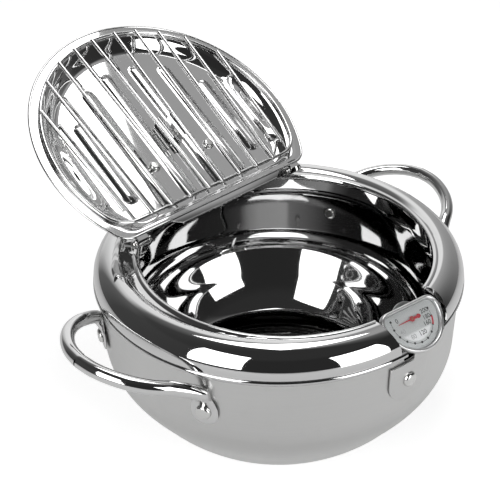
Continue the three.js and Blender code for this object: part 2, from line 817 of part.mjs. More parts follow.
function stem() {
  const top = drumBack - seatGap;
  const bottom = top - stemLength;
  const floor = bottom + stemRadius + stemTipWall;
  return spun([
    [0, bottom],
    [stemRadius * 0.7, bottom + stemRadius * 0.3],
    [stemRadius, bottom + stemRadius],
    [stemRadius, top],
    [stemBore, top],
    [stemBore, floor],
    [0, floor],
  ], 14);
}

function spindle() {
  const bottom = drumBack - seatGap - stemLength + stemRadius + stemTipWall + coilLength;
  return post(spindleRadius, bottom, needleLevel - slideGap / 2, 6);
}

function bimetalCoil() {
  const bottom = drumBack - stemLength + stemRadius + stemTipWall + 2 * coilWire;
  class Helix extends THREE.Curve {
    getPoint(t, target = new THREE.Vector3()) {
      const angle = TURN * coilTurns * t;
      return target.set(coilRadius * Math.cos(angle), coilRadius * Math.sin(angle),
        bottom + coilLength * t);
    }
  }
  return rod(new Helix(), coilWire, coilTurns * 6, false, 4);
}

function needle() {
  const shape = shapeOf([
    [-needleLength, -needleHalfWidth / 3], [0, -needleHalfWidth],
    [needleTail, -needleHalfWidth], [needleTail, needleHalfWidth],
    [0, needleHalfWidth], [-needleLength, needleHalfWidth / 3],
  ]);
  const level = needleLevel;
  const blade = solidOf(plate(shape, level, level + needleThickness));
  const hub = solidOf(post(hubRadius, level, level + hubHeight, 16));
  const weight = solidOf(post(hubRadius * 0.8, level, level + needleThickness, 16)
    .translate(needleTail - hubRadius, 0, 0));
  return join(blade, hub, weight);
}

// Thermometer bracket: riveted tongue, upright tab through the rim notch, and a holder for the case
const toDial = new THREE.Matrix4().makeRotationFromEuler(new THREE.Euler(dialTilt, 0, dialTurn, 'ZYX'))
  .setPosition(dialCentre.x, dialCentre.y, dialCentre.z);

function thermometerBracket() {
  const inner = panWallRadius + seatGap;
  const outer = inner + bracketSheet;
  const band = spun([
    [inner, bracketFoot], [outer, bracketFoot], [outer, tabTop], [inner, tabTop], [inner, bracketFoot],
  ], 96);
  const half = bracketWidth / 2;
  const tongueShape = new THREE.Shape();
  tongueShape.absarc(0, bracketFoot + half, half, Math.PI, TURN, false);
  tongueShape.lineTo(half, bracketShoulder);
  tongueShape.lineTo(-half, bracketShoulder);
  const tabShape = shapeOf([
    [-tabWidth / 2, bracketShoulder - cutOverrun], [tabWidth / 2, bracketShoulder - cutOverrun],
    [tabWidth / 2, tabTop + cutOverrun], [-tabWidth / 2, tabTop + cutOverrun],
  ]);
  const facing = (shape, turn) => solidOf(plate(shape, 0, outer + cutOverrun, 6)
    .rotateX(Math.PI / 2)
    .rotateZ(turn + Math.PI / 2));
  const mask = facing(tongueShape, bracketTurn).add(facing(tabShape, tabTurn));
  const backplate = solidOf(band).intersect(mask)
    .subtract(shankHole(bracketTurn, bracketRivetHeight, inner - cutOverrun, outer + cutOverrun));
  const level = caseBack - seatGap - bracketSheet;
  const bore = drumRadius + seatGap;
  const neck = solidOf(plate(shapeOf([
    [tabOffset - tabWidth / 2, -tabReach], [tabOffset + tabWidth / 2, -tabReach],
    [tabOffset + tabWidth / 2, 0], [tabOffset - tabWidth / 2, 0],
  ]), level, level + bracketSheet).applyMatrix4(toDial));
  const disc = solidOf(post(bore + holderRim, level, level + bracketSheet, 30).applyMatrix4(toDial));
  const hole = solidOf(post(bore, level - cutOverrun, level + cutOverrun, 24).applyMatrix4(toDial));
  return join(backplate, neck, disc).subtract(hole);
}

// Assembly
const pot = new THREE.Group();

const pan = new THREE.Group();
pan.add(meshOf('pan_body', panBody(), satinSteel()));
const handleShape = geometryOf(loopHandle());
pan.add(meshOf('right_handle', handleShape, brightSteel()));
pan.add(meshOf('left_handle', handleShape.clone().rotateZ(Math.PI), brightSteel()));
const rivetNames = ['right_handle_back_rivet', 'right_handle_front_rivet',
  'left_handle_back_rivet', 'left_handle_front_rivet'];
const handleStack = panWallRadius - wallSeat + seatGap + tongueThickness;
rivetNames.forEach((name, i) => {
  const mesh = meshOf(name, rivet(handleStack), brightSteel());
  pan.add(facingOut(mesh, rivetTurns[i], wallSeat, rivetHeight));
});
pan.add(meshOf('thermometer_bracket', thermometerBracket(), satinSteel()));
const bracketStack = panWallRadius - wallSeat + seatGap + bracketSheet;
pan.add(facingOut(meshOf('bracket_rivet', rivet(bracketStack), brightSteel()),
  bracketTurn, wallSeat, bracketRivetHeight));
pot.add(pan);

const ring = new THREE.Group();
ring.add(meshOf('splash_collar', collar(), mirrorSteel()));
ring.add(meshOf('hinge_bracket_left', hingeBracket(-1), brightSteel()));
ring.add(meshOf('hinge_bracket_right', hingeBracket(1), brightSteel()));
ring.add(meshOf('hinge_pin_left', hingePin(-1), brightSteel()));
ring.add(meshOf('hinge_pin_right', hingePin(1), brightSteel()));
pot.add(ring);

const lidGroup = new THREE.Group();
lidGroup.position.set(0, pinY, pinZ);
lidGroup.rotation.x = -lidOpenAngle;
lidGroup.add(meshOf('lid_shell', lidShell(), mirrorSteel()));
lidGroup.add(meshOf('lid_handle', lidHandle(), brightSteel()));
const lidStack = lidSheet + seatGap + archPadThickness;
[['lid_handle_rivet_left', -1], ['lid_handle_rivet_right', 1]].forEach(([name, side]) => {
  const mesh = meshOf(name, rivet(lidStack), brightSteel());
  mesh.position.set(side * archRivetX, -archFromHinge, wellTop - lidSheet);
  lidGroup.add(mesh);
});
lidGroup.add(meshOf('rack_clip', rackClip(), brightSteel()));
const clipStack = lidSheet + seatGap + clipThickness;
const clipRivet = meshOf('rack_clip_rivet', rivet(clipStack, rivetHeadRadius * 0.75), brightSteel());
clipRivet.position.set(0, -clipFromHinge, wellTop - lidSheet - seatGap - clipThickness);
lidGroup.add(clipRivet);
lidGroup.add(meshOf('wire_rack', wireRack(), brightSteel()));
pot.add(lidGroup);

const thermometer = new THREE.Group();
thermometer.position.set(dialCentre.x, dialCentre.y, dialCentre.z);
thermometer.rotation.set(dialTilt, 0, dialTurn, 'ZYX');
thermometer.add(meshOf('thermometer_case', thermometerCase(), brightSteel()));
thermometer.add(meshOf('dial_face', dialFace(), new THREE.MeshStandardMaterial({
  color: 0xc9cccb, roughness: 0.5, metalness: 0.1,
})));
thermometer.add(meshOf('thermometer_lens', lens(), new THREE.MeshStandardMaterial({
  color: 0xf4f7f7, roughness: 0.05, metalness: 0, transparent: true, opacity: 0.25,
})));
thermometer.add(meshOf('probe_stem', stem(), brightSteel()));
thermometer.add(meshOf('needle_spindle', spindle(), steel(0xb5a642, 0.3)));
thermometer.add(meshOf('bimetal_coil', bimetalCoil(), steel(0xb08a50, 0.35)));
thermometer.add(meshOf('needle', needle(), new THREE.MeshStandardMaterial({
  color: 0xb01020, roughness: 0.45, metalness: 0,
})));
pot.add(thermometer);

export default pot;
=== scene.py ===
"""Looks of a stainless steel frying pot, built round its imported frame.

The pan stands on the floor with its splash collar on the rim, the lid swung open on the collar's
hinge with the draining rack clipped inside it, and the dial thermometer in its bracket.
Every shape is drawn in millimetres in its own sub-assembly's frame, then put in place in metres.
"""

import logging
import math
from dataclasses import dataclass
from enum import Enum
from functools import lru_cache
from typing import Callable, ClassVar, Iterable, Optional, Sequence, Union

import bmesh
import bpy
from mathutils import Matrix, Vector
from mathutils.geometry import interpolate_bezier


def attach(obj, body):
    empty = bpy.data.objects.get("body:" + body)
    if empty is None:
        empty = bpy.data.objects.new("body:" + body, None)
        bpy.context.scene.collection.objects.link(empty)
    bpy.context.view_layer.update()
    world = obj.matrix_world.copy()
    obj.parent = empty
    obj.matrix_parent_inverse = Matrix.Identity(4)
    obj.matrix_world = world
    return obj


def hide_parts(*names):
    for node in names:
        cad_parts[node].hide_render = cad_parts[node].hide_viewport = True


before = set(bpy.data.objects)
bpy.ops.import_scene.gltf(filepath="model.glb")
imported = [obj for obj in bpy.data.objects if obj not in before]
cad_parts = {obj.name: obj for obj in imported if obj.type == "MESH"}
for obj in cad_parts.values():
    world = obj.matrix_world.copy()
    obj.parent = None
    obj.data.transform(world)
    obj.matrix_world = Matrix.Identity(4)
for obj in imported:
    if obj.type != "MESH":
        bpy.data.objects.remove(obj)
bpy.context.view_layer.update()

LOG = logging.getLogger("frying_pot")
MM = 0.001
UP = Vector((0, 0, 1))
ORIGIN = (0, 0)
CREASE = 32
HERE = Matrix.Identity(4)
STAND = Matrix.Rotation(math.pi / 2, 4, "X")
ALONG_X = Matrix.Rotation(math.pi / 2, 4, "Z") @ STAND
LIE = Matrix.Rotation(math.pi / 2, 4, "Y")
Flat = tuple[float, float]
Triple = tuple[float, float, float]
Ring = list[Vector]

# Sizes that several sub-assemblies share, in millimetres.
GAP = 0.3
SEAT = 119.5
WALL_INSIDE = 118.2
PAN_RIVET = 4.9
PIN = (54.0, 126.6)
PIN_X = 70.0
WIRE = 1.35
RACK_LEVEL = -6.55
CASE_BACK = -1.6


# ---------------------------------------------------------------- drawing aids


def arc(centre: Flat, radius: float, start: float, end: float, steps: int) -> list[Flat]:
    """Points of an arc.

    Args:
        centre: The arc's centre.
        radius: Its radius.
        start: First angle, in degrees.
        end: Last angle, in degrees.
        steps: Number of chords.

    Returns:
        The points, both ends included.
    """
    turn = math.radians(end - start) / steps
    first = math.radians(start)
    return [
        (centre[0] + radius * math.cos(first + turn * i), centre[1] + radius * math.sin(first + turn * i))
        for i in range(steps + 1)
    ]


def straight(start: Flat, end: Flat, steps: int) -> list[Flat]:
    """Evenly spaced points from start to end, without the first."""
    return [
        (start[0] + (end[0] - start[0]) * i / steps, start[1] + (end[1] - start[1]) * i / steps)
        for i in range(1, steps + 1)
    ]


def bend(start: Flat, pull_start: Flat, pull_end: Flat, end: Flat, steps: int) -> list[Flat]:
    """Points of a cubic curve, both ends included."""
    return [(p.x, p.y) for p in interpolate_bezier(start, pull_start, pull_end, end, steps + 1)]


def d_outline(radius: float, chord: float, corner: float, steps: int = 132) -> list[Flat]:
    """A circle cut by a chord towards +Y, with rounded corners, counter-clockwise.

    Args:
        radius: The circle's radius, about the origin.
        chord: The chord's distance from the origin.
        corner: Radius of the two corners.
        steps: Number of chords along the round side.

    Returns:
        A closed outline, with the same number of points whatever its size.
    """
    rise = chord - corner
    side = math.sqrt((radius - corner) ** 2 - rise**2)
    turn = math.degrees(math.atan2(rise, side))
    right = arc((side, rise), corner, turn, 90, 12)
    left = arc((-side, rise), corner, 90, 180 - turn, 12)
    sweep = arc(ORIGIN, radius, 180 - turn, 360 + turn, steps)
    return right + straight((side, chord), (-side, chord), 36)[:-1] + left + sweep[1:-1]


def raised(outline: Sequence[Flat], height: float) -> Ring:
    """The outline at a height."""
    return [Vector((x, y, height)) for x, y in outline]


def offset(outline: Sequence[Flat], out: float, height: float = 0.0) -> Ring:
    """The outline moved outwards by a distance, at a height."""
    ring = []
    for i, (x, y) in enumerate(outline):
        before, after = outline[i - 1], outline[(i + 1) % len(outline)]
        side = Vector((after[1] - before[1], before[0] - after[0])).normalized()
        ring.append(Vector((x + side.x * out, y + side.y * out, height)))
    return ring


def thickened(line: Sequence[Flat], distance: float) -> list[Flat]:
    """The open line moved to its left by a distance."""
    moved = []
    for i, point in enumerate(line):
        before, after = line[max(i - 1, 0)], line[min(i + 1, len(line) - 1)]
        along = (Vector(after) - Vector(before)).normalized()
        moved.append((point[0] - along.y * distance, point[1] + along.x * distance))
    return moved


def smooth_path(knots: Sequence[Vector], steps: int) -> list[Vector]:
    """A path through all the knots, with steps points for each span."""
    path = []
    for i in range(len(knots) - 1):
        a, b = knots[i], knots[i + 1]
        before = knots[i - 1] if i else a - (b - a)
        after = knots[i + 2] if i + 2 < len(knots) else b + (b - a)
        span = (b - a).length
        pull_a = (b - before).normalized() * span / 3
        pull_b = (after - a).normalized() * span / 3
        path += interpolate_bezier(a, a + pull_a, b - pull_b, b, steps + 1)[:-1]
    return [Vector(p) for p in path] + [knots[-1].copy()]


def verts_of(made: Sequence) -> list:
    """The vertices among what an operator made."""
    return [v for v in made if isinstance(v, bmesh.types.BMVert)]


def edges_of(made: Sequence) -> list:
    """The edges among what an operator made."""
    return [e for e in made if isinstance(e, bmesh.types.BMEdge)]


class Form:
    """A mesh in the making, in millimetres."""

    def __init__(self) -> None:
        """Starts with nothing."""
        self.bm = bmesh.new()
        self.rims: tuple[list, list] = ([], [])

    @property
    def all(self) -> list:
        """Its vertices, edges and faces."""
        return self.bm.verts[:] + self.bm.edges[:] + self.bm.faces[:]

    def line(self, points: Iterable[Vector], closed: bool) -> tuple[list, list]:
        """Lays a chain of vertices.

        Args:
            points: Where the vertices go.
            closed: Whether the last joins the first.

        Returns:
            The vertices and the edges.
        """
        verts = [self.bm.verts.new(p) for p in points]
        ahead = verts[1:] + verts[:1] if closed else verts[1:]
        return verts, [self.bm.edges.new(pair) for pair in zip(verts, ahead)]

    def loft(self, rings: Sequence[Ring], looped: bool = False, capped: bool = False) -> "Form":
        """Extrudes a first closed ring on to each next one.

        Args:
            rings: Rings with equal numbers of points.
            looped: Whether the last ring joins the first.
            capped: Whether the two ends are closed.

        Returns:
            This form.
        """
        verts, edges = self.line(rings[0], True)
        first = edges
        for ring in rings[1:]:
            made = bmesh.ops.extrude_edge_only(self.bm, edges=edges)["geom"]
            fresh = set(verts_of(made))
            verts = [next(e.other_vert(v) for e in v.link_edges if e.other_vert(v) in fresh) for v in verts]
            for vert, point in zip(verts, ring):
                vert.co = point
            edges = [e for e in edges_of(made) if e.is_boundary and fresh.issuperset(e.verts)]
        self.rims = (first, edges)
        if looped:
            bmesh.ops.bridge_loops(self.bm, edges=first + edges)
        if capped:
            bmesh.ops.edgeloop_fill(self.bm, edges=first)
            bmesh.ops.edgeloop_fill(self.bm, edges=edges)
        return self

    def revolve(self, profile: Sequence[Flat], steps: int = 144) -> "Form":
        """Spins a (radius, height) line about +Z."""
        verts, edges = self.line([Vector((r, 0, z)) for r, z in profile], False)
        bmesh.ops.spin(
            self.bm, geom=verts + edges, cent=(0, 0, 0), axis=UP, dvec=(0, 0, 0), angle=math.tau,
            steps=steps, use_merge=True, use_duplicate=False,
        )
        bmesh.ops.remove_doubles(self.bm, verts=self.bm.verts, dist=1e-4)
        return self

    def cylinder(self, radius: float, low: float, high: float, steps: int) -> "Form":
        """A solid cylinder about +Z, between two heights."""
        return self.revolve([(0, low), (radius, low), (radius, high), (0, high)], steps)

    def tube(
        self,
        path: Sequence[Vector],
        radius: Union[float, Callable[[float], Flat]],
        side: Vector = UP,
        sides: int = 20,
        looped: bool = False,
    ) -> "Form":
        """Extrudes a round section along a path.

        Args:
            path: Points of the centre line.
            radius: The section's radius, or its half width along side and across it at a share of the path.
            side: Direction that the section's first axis starts in.
            sides: Number of corners of the section.
            looped: Whether the path closes on itself.

        Returns:
            This form.
        """
        count = len(path)
        frames = []
        axis = side.copy()
        for i, point in enumerate(path):
            before = path[i - 1] if looped or i else point
            after = path[(i + 1) % count] if looped or i + 1 < count else point
            along = (after - before).normalized()
            axis = (axis - along * axis.dot(along)).normalized()
            across = along.cross(axis)
            wide, deep = radius(i / (count - 1)) if callable(radius) else (radius, radius)
            columns = (axis * wide, across * deep, along, point)
            frames.append(Matrix([[c[row] for c in columns] for row in range(3)] + [[0, 0, 0, 1]]))
        ring = bmesh.ops.create_circle(self.bm, segments=sides, radius=1, matrix=frames[0])["verts"]
        edges = list({e for v in ring for e in v.link_edges})
        first = edges
        for here, there in zip(frames, frames[1:]):
            made = bmesh.ops.extrude_edge_only(self.bm, edges=edges)["geom"]
            fresh = set(verts_of(made))
            bmesh.ops.transform(self.bm, matrix=there @ here.inverted(), verts=list(fresh))
            edges = [e for e in edges_of(made) if fresh.issuperset(e.verts)]
        if looped:
            bmesh.ops.bridge_loops(self.bm, edges=first + edges)
        else:
            for rim in (first, edges):
                bmesh.ops.edgeloop_fill(self.bm, edges=rim)
        return self

    def plate(self, outline: Sequence[Flat], low: float, high: float, edge: float = 0.0) -> "Form":
        """Raises a flat outline between two heights.

        Args:
            outline: A closed outline.
            low: Height of the lower face.
            high: Height of the upper face.
            edge: Radius of the rounding along both rims.

        Returns:
            This form.
        """
        verts, edges = self.line(raised(outline, low), True)
        face = self.bm.faces.new(verts)
        made = bmesh.ops.extrude_face_region(self.bm, geom=[face])["geom"]
        bmesh.ops.translate(self.bm, verts=verts_of(made), vec=(0, 0, high - low))
        if edge:
            bmesh.ops.bevel(
                self.bm, geom=edges + edges_of(made), offset=edge, affect="EDGES", segments=3, profile=0.5,
                material=-1, clamp_overlap=True,
            )
        return self

    def sliced(self, axis: Vector, start: float, end: float, step: float) -> "Form":
        """Cuts the faces across along an axis, so that they can bend."""
        for i in range(int((end - start) / step) + 1):
            bmesh.ops.bisect_plane(
                self.bm, geom=self.all, dist=1e-5, plane_co=axis * (start + step * i), plane_no=axis
            )
        return self

    def wrapped(self, radius: float, turn: float) -> "Form":
        """Rolls a plate drawn in (round, up, out) onto an upright cylinder.

        Args:
            radius: The cylinder's radius.
            turn: Azimuth where x is nought, in degrees.

        Returns:
            This form.
        """
        for vert in self.bm.verts:
            x, y, z = vert.co
            angle = math.radians(turn) + x / radius
            vert.co = ((radius + z) * math.cos(angle), (radius + z) * math.sin(angle), y)
        return self

    def placed(self, matrix: Matrix) -> "Form":
        """Moves all that is made so far."""
        bmesh.ops.transform(self.bm, matrix=matrix, verts=self.bm.verts)
        return self

    def mirrored(self, axis: str) -> "Form":
        """Adds the mirror image across an axis, joined where the two meet."""
        bmesh.ops.mirror(self.bm, geom=self.all, axis=axis, merge_dist=1e-3)
        return self

    def joined(self, other: "Form") -> "Form":
        """Takes in another form, which is used up."""
        mesh = bpy.data.meshes.new("part")
        other.bm.to_mesh(mesh)
        other.bm.free()
        self.bm.from_mesh(mesh)
        bpy.data.meshes.remove(mesh)
        return self

    def taken(self, other: bpy.types.Object) -> "Form":
        """Takes in a finished object, which is used up."""
        mesh = other.data
        mesh.transform(Matrix.Scale(1 / MM, 4))
        self.bm.from_mesh(mesh)
        bpy.data.objects.remove(other)
        bpy.data.meshes.remove(mesh)
        return self

    def piece(self, name: str, place: Matrix = HERE, crease: float = CREASE) -> bpy.types.Object:
        """Turns the form into an object in metres at the origin.

        Args:
            name: The piece's name.
            place: Its sub-assembly's place in the pot's frame, in millimetres.
            crease: Angle in degrees from which an edge stays sharp.

        Returns:
            The object.
        """
        bmesh.ops.recalc_face_normals(self.bm, faces=self.bm.faces)
        bmesh.ops.transform(self.bm, matrix=Matrix.Scale(MM, 4) @ place, verts=self.bm.verts)
        mesh = bpy.data.meshes.new(name)
        self.bm.to_mesh(mesh)
        self.bm.free()
        made = bpy.data.objects.new(name, mesh)
        bpy.context.collection.objects.link(made)
        smooth(made, crease)
        return made


def smooth(piece: bpy.types.Object, crease: float = CREASE) -> None:
    """Shades a piece smooth, apart from edges sharper than crease degrees."""
    piece.data.shade_smooth()
    piece.data.set_sharp_from_angle(angle=math.radians(crease))


def carve(target: bpy.types.Object, form: Form, operation: str = "DIFFERENCE") -> None:
    """Cuts a piece by a form, which is used up."""
    tool = form.piece("tool")
    modifier = target.modifiers.new("carve", "BOOLEAN")
    modifier.operation = operation
    modifier.solver = "EXACT"
    modifier.object = tool
    graph = bpy.context.evaluated_depsgraph_get()
    made = bpy.data.meshes.new_from_object(target.evaluated_get(graph))
    target.modifiers.clear()
    old = target.data
    target.data = made
    bpy.data.meshes.remove(old)
    bpy.data.objects.remove(tool)
    smooth(target)


# ---------------------------------------------------------------- finishes

Value = Union[float, "Term", bpy.types.NodeSocket]
Settings = Optional[dict]


def operator(operation: str, swapped: bool = False) -> Callable[["Term", Value], "Term"]:
    """A Python operator that adds a Math node.

    Args:
        operation: The node's operation.
        swapped: Whether the term is the second operand.

    Returns:
        The operator's method.
    """

    def apply(term: "Term", other: Value) -> "Term":
        pair = (other, term) if swapped else (term, other)
        return term.shader.math(operation, *pair)

    return apply


class Term:
    """A shader socket that takes part in Python arithmetic."""

    __add__ = __radd__ = operator("ADD")
    __mul__ = __rmul__ = operator("MULTIPLY")
    __sub__, __rsub__ = operator("SUBTRACT"), operator("SUBTRACT", True)
    __truediv__ = operator("DIVIDE")
    __pow__ = operator("POWER")

    def __init__(self, shader: "Shader", socket: bpy.types.NodeSocket) -> None:
        """Keeps the socket and the shader it belongs to."""
        self.shader = shader
        self.socket = socket


class Shader:
    """Node tree of a material or of the world."""

    def __init__(self, owner: Union[bpy.types.Material, bpy.types.World]) -> None:
        """Opens the owner's node tree."""
        owner.use_nodes = True
        self.owner = owner
        self.tree = owner.node_tree

    def node(self, kind: str, settings: Settings = None, sockets: Settings = None) -> bpy.types.Node:
        """Adds a node.

        Args:
            kind: The node's type.
            settings: Its properties, or a ramp's stops, set before the sockets.
            sockets: Values or links of its inputs, by name or number.

        Returns:
            The node.
        """
        made = self.tree.nodes.new(kind)
        for key, value in (settings or {}).items():
            if key == "stops":
                elements = made.color_ramp.elements
                while len(elements) < len(value):
                    elements.new(0.5)
                for element, (position, level) in zip(elements, value):
                    element.position = position
                    element.color = (level, level, level, 1)
            else:
                setattr(made, key, value)
        for key, value in (sockets or {}).items():
            self.feed(made.inputs[key], value)
        return made

    def feed(self, socket: bpy.types.NodeSocket, value: Value) -> None:
        """Links or sets one input."""
        if isinstance(value, Term):
            value = value.socket
        if isinstance(value, bpy.types.NodeSocket):
            self.tree.links.new(value, socket)
        else:
            socket.default_value = value

    def math(self, operation: str, first: Value, second: Value = 0.0, clamp: bool = False) -> Term:
        """A Math node."""
        settings = {"operation": operation, "use_clamp": clamp}
        return Term(self, self.node("ShaderNodeMath", settings, {0: first, 1: second}).outputs[0])

    def blend(self, factor: Value, first: tuple, second: tuple) -> bpy.types.NodeSocket:
        """A colour between two."""
        made = self.node("ShaderNodeMix", {"data_type": "RGBA"}, {0: factor, 6: first, 7: second})
        return made.outputs[2]

    def step(self, value: Value, low: float, high: float) -> Term:
        """A soft step from 0 at low to 1 at high."""
        made = self.node(
            "ShaderNodeMapRange", {"interpolation_type": "SMOOTHSTEP"},
            {"Value": value, "From Min": low, "From Max": high},
        )
        return Term(self, made.outputs[0])

    def place(self) -> bpy.types.NodeSocket:
        """The piece's own coordinates, in metres."""
        return self.node("ShaderNodeTexCoord").outputs["Object"]

    def axes(self, vector: bpy.types.NodeSocket) -> tuple[Term, Term, Term]:
        """The three parts of a vector."""
        made = self.node("ShaderNodeSeparateXYZ", {}, {0: vector})
        return tuple(Term(self, out) for out in made.outputs)

    def noise(self, vector: Value, scale: float, detail: float = 2, rough: float = 0.5) -> Term:
        """Noise from 0 to 1."""
        made = self.node(
            "ShaderNodeTexNoise", {},
            {"Vector": vector, "Scale": scale, "Detail": detail, "Roughness": rough},
        )
        return Term(self, made.outputs[0])


class Surface(Shader):
    """A new material's tree, with its principled surface."""

    def __init__(self, name: str) -> None:
        """Makes the material."""
        super().__init__(bpy.data.materials.new(name))
        self.inputs = self.tree.nodes["Principled BSDF"].inputs

    def paint(self, sockets: dict, height: Value = None) -> bpy.types.Material:
        """Feeds the surface, with a bump from a height in metres.

        Args:
            sockets: Values or links of the surface's inputs, by name.
            height: What raises the surface.

        Returns:
            The finished material.
        """
        for name, value in sockets.items():
            self.feed(self.inputs[name], value)
        if height is not None:
            bump = self.node("ShaderNodeBump", {}, {"Strength": 1.0, "Distance": 1.0, "Height": height})
            self.feed(self.inputs["Normal"], bump.outputs[0])
        return self.owner


class Grain(Enum):
    """Direction of a metal's polishing lines."""

    TURNED = "round the pot's axis"
    DRAWN = "along the pot's X axis"
    TUMBLED = "no direction"


def colour(level: Sequence[float]) -> tuple[float, float, float, float]:
    """A colour with full alpha."""
    return (level[0], level[1], level[2], 1.0)


@dataclass(frozen=True)
class Steel:
    """A steel finish: tint, gloss, polishing lines and light wear."""

    name: str
    tint: Triple
    roughness: float
    smear: float = 0.03
    grain: Grain = Grain.TUMBLED
    line_depth: float = 2e-7
    wave_depth: float = 0.0
    hazed: float = 0.04

    def lines(self, shader: Shader, place: bpy.types.NodeSocket) -> Term:
        """Fine polishing lines in the finish's direction.

        Args:
            shader: The material's shader.
            place: Object coordinates.

        Returns:
            A value from 0 to 1.
        """
        x, y, z = shader.axes(place)
        if self.grain is Grain.TUMBLED:
            return shader.noise(place, 900, 3)
        if self.grain is Grain.DRAWN:
            vector = shader.node("ShaderNodeCombineXYZ", {}, {0: x * 25, 1: y * 1400, 2: z * 1400})
            return shader.noise(vector.outputs[0], 1, 2)
        reach = (x * x + y * y + 1e-9) ** 0.5
        vector = shader.node("ShaderNodeCombineXYZ", {}, {0: x / reach * 2, 1: y / reach * 2, 2: reach * 900})
        made = shader.node(
            "ShaderNodeTexNoise", {"noise_dimensions": "4D"},
            {"Vector": vector.outputs[0], "W": z * 900, "Scale": 1, "Detail": 2},
        )
        return Term(shader, made.outputs[0])

    def make(self) -> bpy.types.Material:
        """Builds the material."""
        shader = Surface(self.name)
        place = shader.place()
        lines = self.lines(shader, place)
        cloud = shader.noise(place, 22, 3, 0.55)
        haze = shader.step(shader.noise(place, 70, 4, 0.6), 0.55, 0.8)
        darker = colour([c * (1 - self.hazed * 2) for c in self.tint])
        rough = self.roughness + self.smear * (cloud - 0.5) + self.smear * (lines - 0.5)
        rough = rough + haze * self.hazed * 0.5
        height = lines * self.line_depth
        if self.wave_depth:
            height = height + shader.noise(place, 14, 1) * self.wave_depth
        sockets = {
            "Metallic": 1.0,
            "Base Color": shader.blend(haze * 0.5 + lines * 0.5, colour(self.tint), darker),
            "Roughness": shader.math("MAXIMUM", rough, 0.01),
        }
        return shader.paint(sockets, height)


@dataclass(frozen=True)
class DialSheet:
    """Silver dial sheet with a paler lower field and a faint sparkle."""

    name: str
    silver: Triple
    pale: Triple
    centre: Triple
    up: Triple
    field_top: Flat = (-0.0085, -0.0065)
    field_rim: Flat = (0.0125, 0.0135)

    def make(self) -> bpy.types.Material:
        """Builds the material."""
        shader = Surface(self.name)
        place = shader.place()

        def vectors(operation: str, first: Value, second: Value, output: int) -> bpy.types.NodeSocket:
            made = shader.node("ShaderNodeVectorMath", {"operation": operation}, {0: first, 1: second})
            return made.outputs[output]

        shifted = vectors("SUBTRACT", place, self.centre, 0)
        low = 1 - shader.step(vectors("DOT_PRODUCT", shifted, self.up, 1), *self.field_top)
        inside = 1 - shader.step(vectors("LENGTH", shifted, self.up, 1), *self.field_rim)
        sparkle = shader.noise(place, 6000, 2)
        sockets = {
            "Base Color": shader.blend(low * inside, colour(self.silver), colour(self.pale)),
            "Metallic": 0.35 - low * inside * 0.3,
            "Roughness": 0.42 + sparkle * 0.12,
        }
        return shader.paint(sockets, sparkle * 4e-6)


@dataclass(frozen=True)
class Enamel:
    """Printed or painted colour with a slightly uneven coat."""

    name: str
    shade: Triple
    worn: Triple
    roughness: float = 0.4

    def make(self) -> bpy.types.Material:
        """Builds the material."""
        shader = Surface(self.name)
        patch = shader.step(shader.noise(shader.place(), 900, 3, 0.6), 0.45, 0.75)
        tone = shader.blend(patch, colour(self.shade), colour(self.worn))
        return shader.paint({"Base Color": tone, "Roughness": self.roughness + patch * 0.12})


@dataclass(frozen=True)
class Window:
    """Clear window over the dial, seen mostly by its gloss."""

    name: str
    haze: float = 0.02

    def make(self) -> bpy.types.Material:
        """Builds the material."""
        shader = Surface(self.name)
        cloud = shader.noise(shader.place(), 160, 3)
        gloss = Term(shader, shader.node("ShaderNodeLayerWeight", {}, {"Blend": 0.25}).outputs["Fresnel"])
        sockets = {"Roughness": 0.03 + cloud * 0.04, "Alpha": self.haze + gloss * 0.25}
        return shader.paint({"Base Color": (0.95, 0.97, 0.97, 1), **sockets})


class Palette:
    """The finishes of the pot."""

    satin = Steel("satin_steel", (0.62, 0.62, 0.615), 0.3, 0.05, Grain.TURNED, 4e-7)
    bowl = Steel("mirror_steel_bowl", (0.6, 0.6, 0.6), 0.04, 0.02, Grain.TURNED, 2e-7, 2e-6)
    mirror = Steel("mirror_steel_collar", (0.66, 0.66, 0.66), 0.03, 0.02, Grain.TURNED, 5e-8, 1e-6)
    sheet = Steel("mirror_steel_lid", (0.68, 0.68, 0.68), 0.04, 0.02, Grain.DRAWN, 5e-8, 1e-6)
    rod = Steel("polished_rod", (0.68, 0.68, 0.68), 0.06, 0.03, Grain.TUMBLED, 1e-7)
    wire = Steel("polished_wire", (0.7, 0.7, 0.7), 0.08, 0.03, Grain.TUMBLED, 1e-7)
    rivet = Steel("rivet_steel", (0.7, 0.7, 0.69), 0.2, 0.05, Grain.TUMBLED, 3e-7)
    case = Steel("case_steel", (0.7, 0.7, 0.7), 0.34, 0.05, Grain.TUMBLED, 3e-7)
    works = Steel("turned_steel", (0.5, 0.5, 0.5), 0.3, 0.05, Grain.TUMBLED, 3e-7)
    strip = Steel("bimetal_strip", (0.5, 0.36, 0.18), 0.35, 0.06, Grain.TUMBLED, 3e-7)
    needle = Enamel("red_needle", (0.42, 0.006, 0.02), (0.3, 0.01, 0.02), 0.4)
    hub = Enamel("needle_hub", (0.3, 0.09, 0.05), (0.2, 0.05, 0.03), 0.35)
    ink = Enamel("black_print", (0.012, 0.012, 0.014), (0.03, 0.03, 0.03), 0.5)
    faded = Enamel("faded_print", (0.42, 0.43, 0.44), (0.5, 0.5, 0.5), 0.5)
    red = Enamel("red_print", (0.5, 0.01, 0.03), (0.42, 0.02, 0.03), 0.45)
    window = Window("clear_window")


@lru_cache(maxsize=None)
def finished(finish: Union[Steel, DialSheet, Enamel, Window]) -> bpy.types.Material:
    """The finish's material, made at its first use."""
    return finish.make()


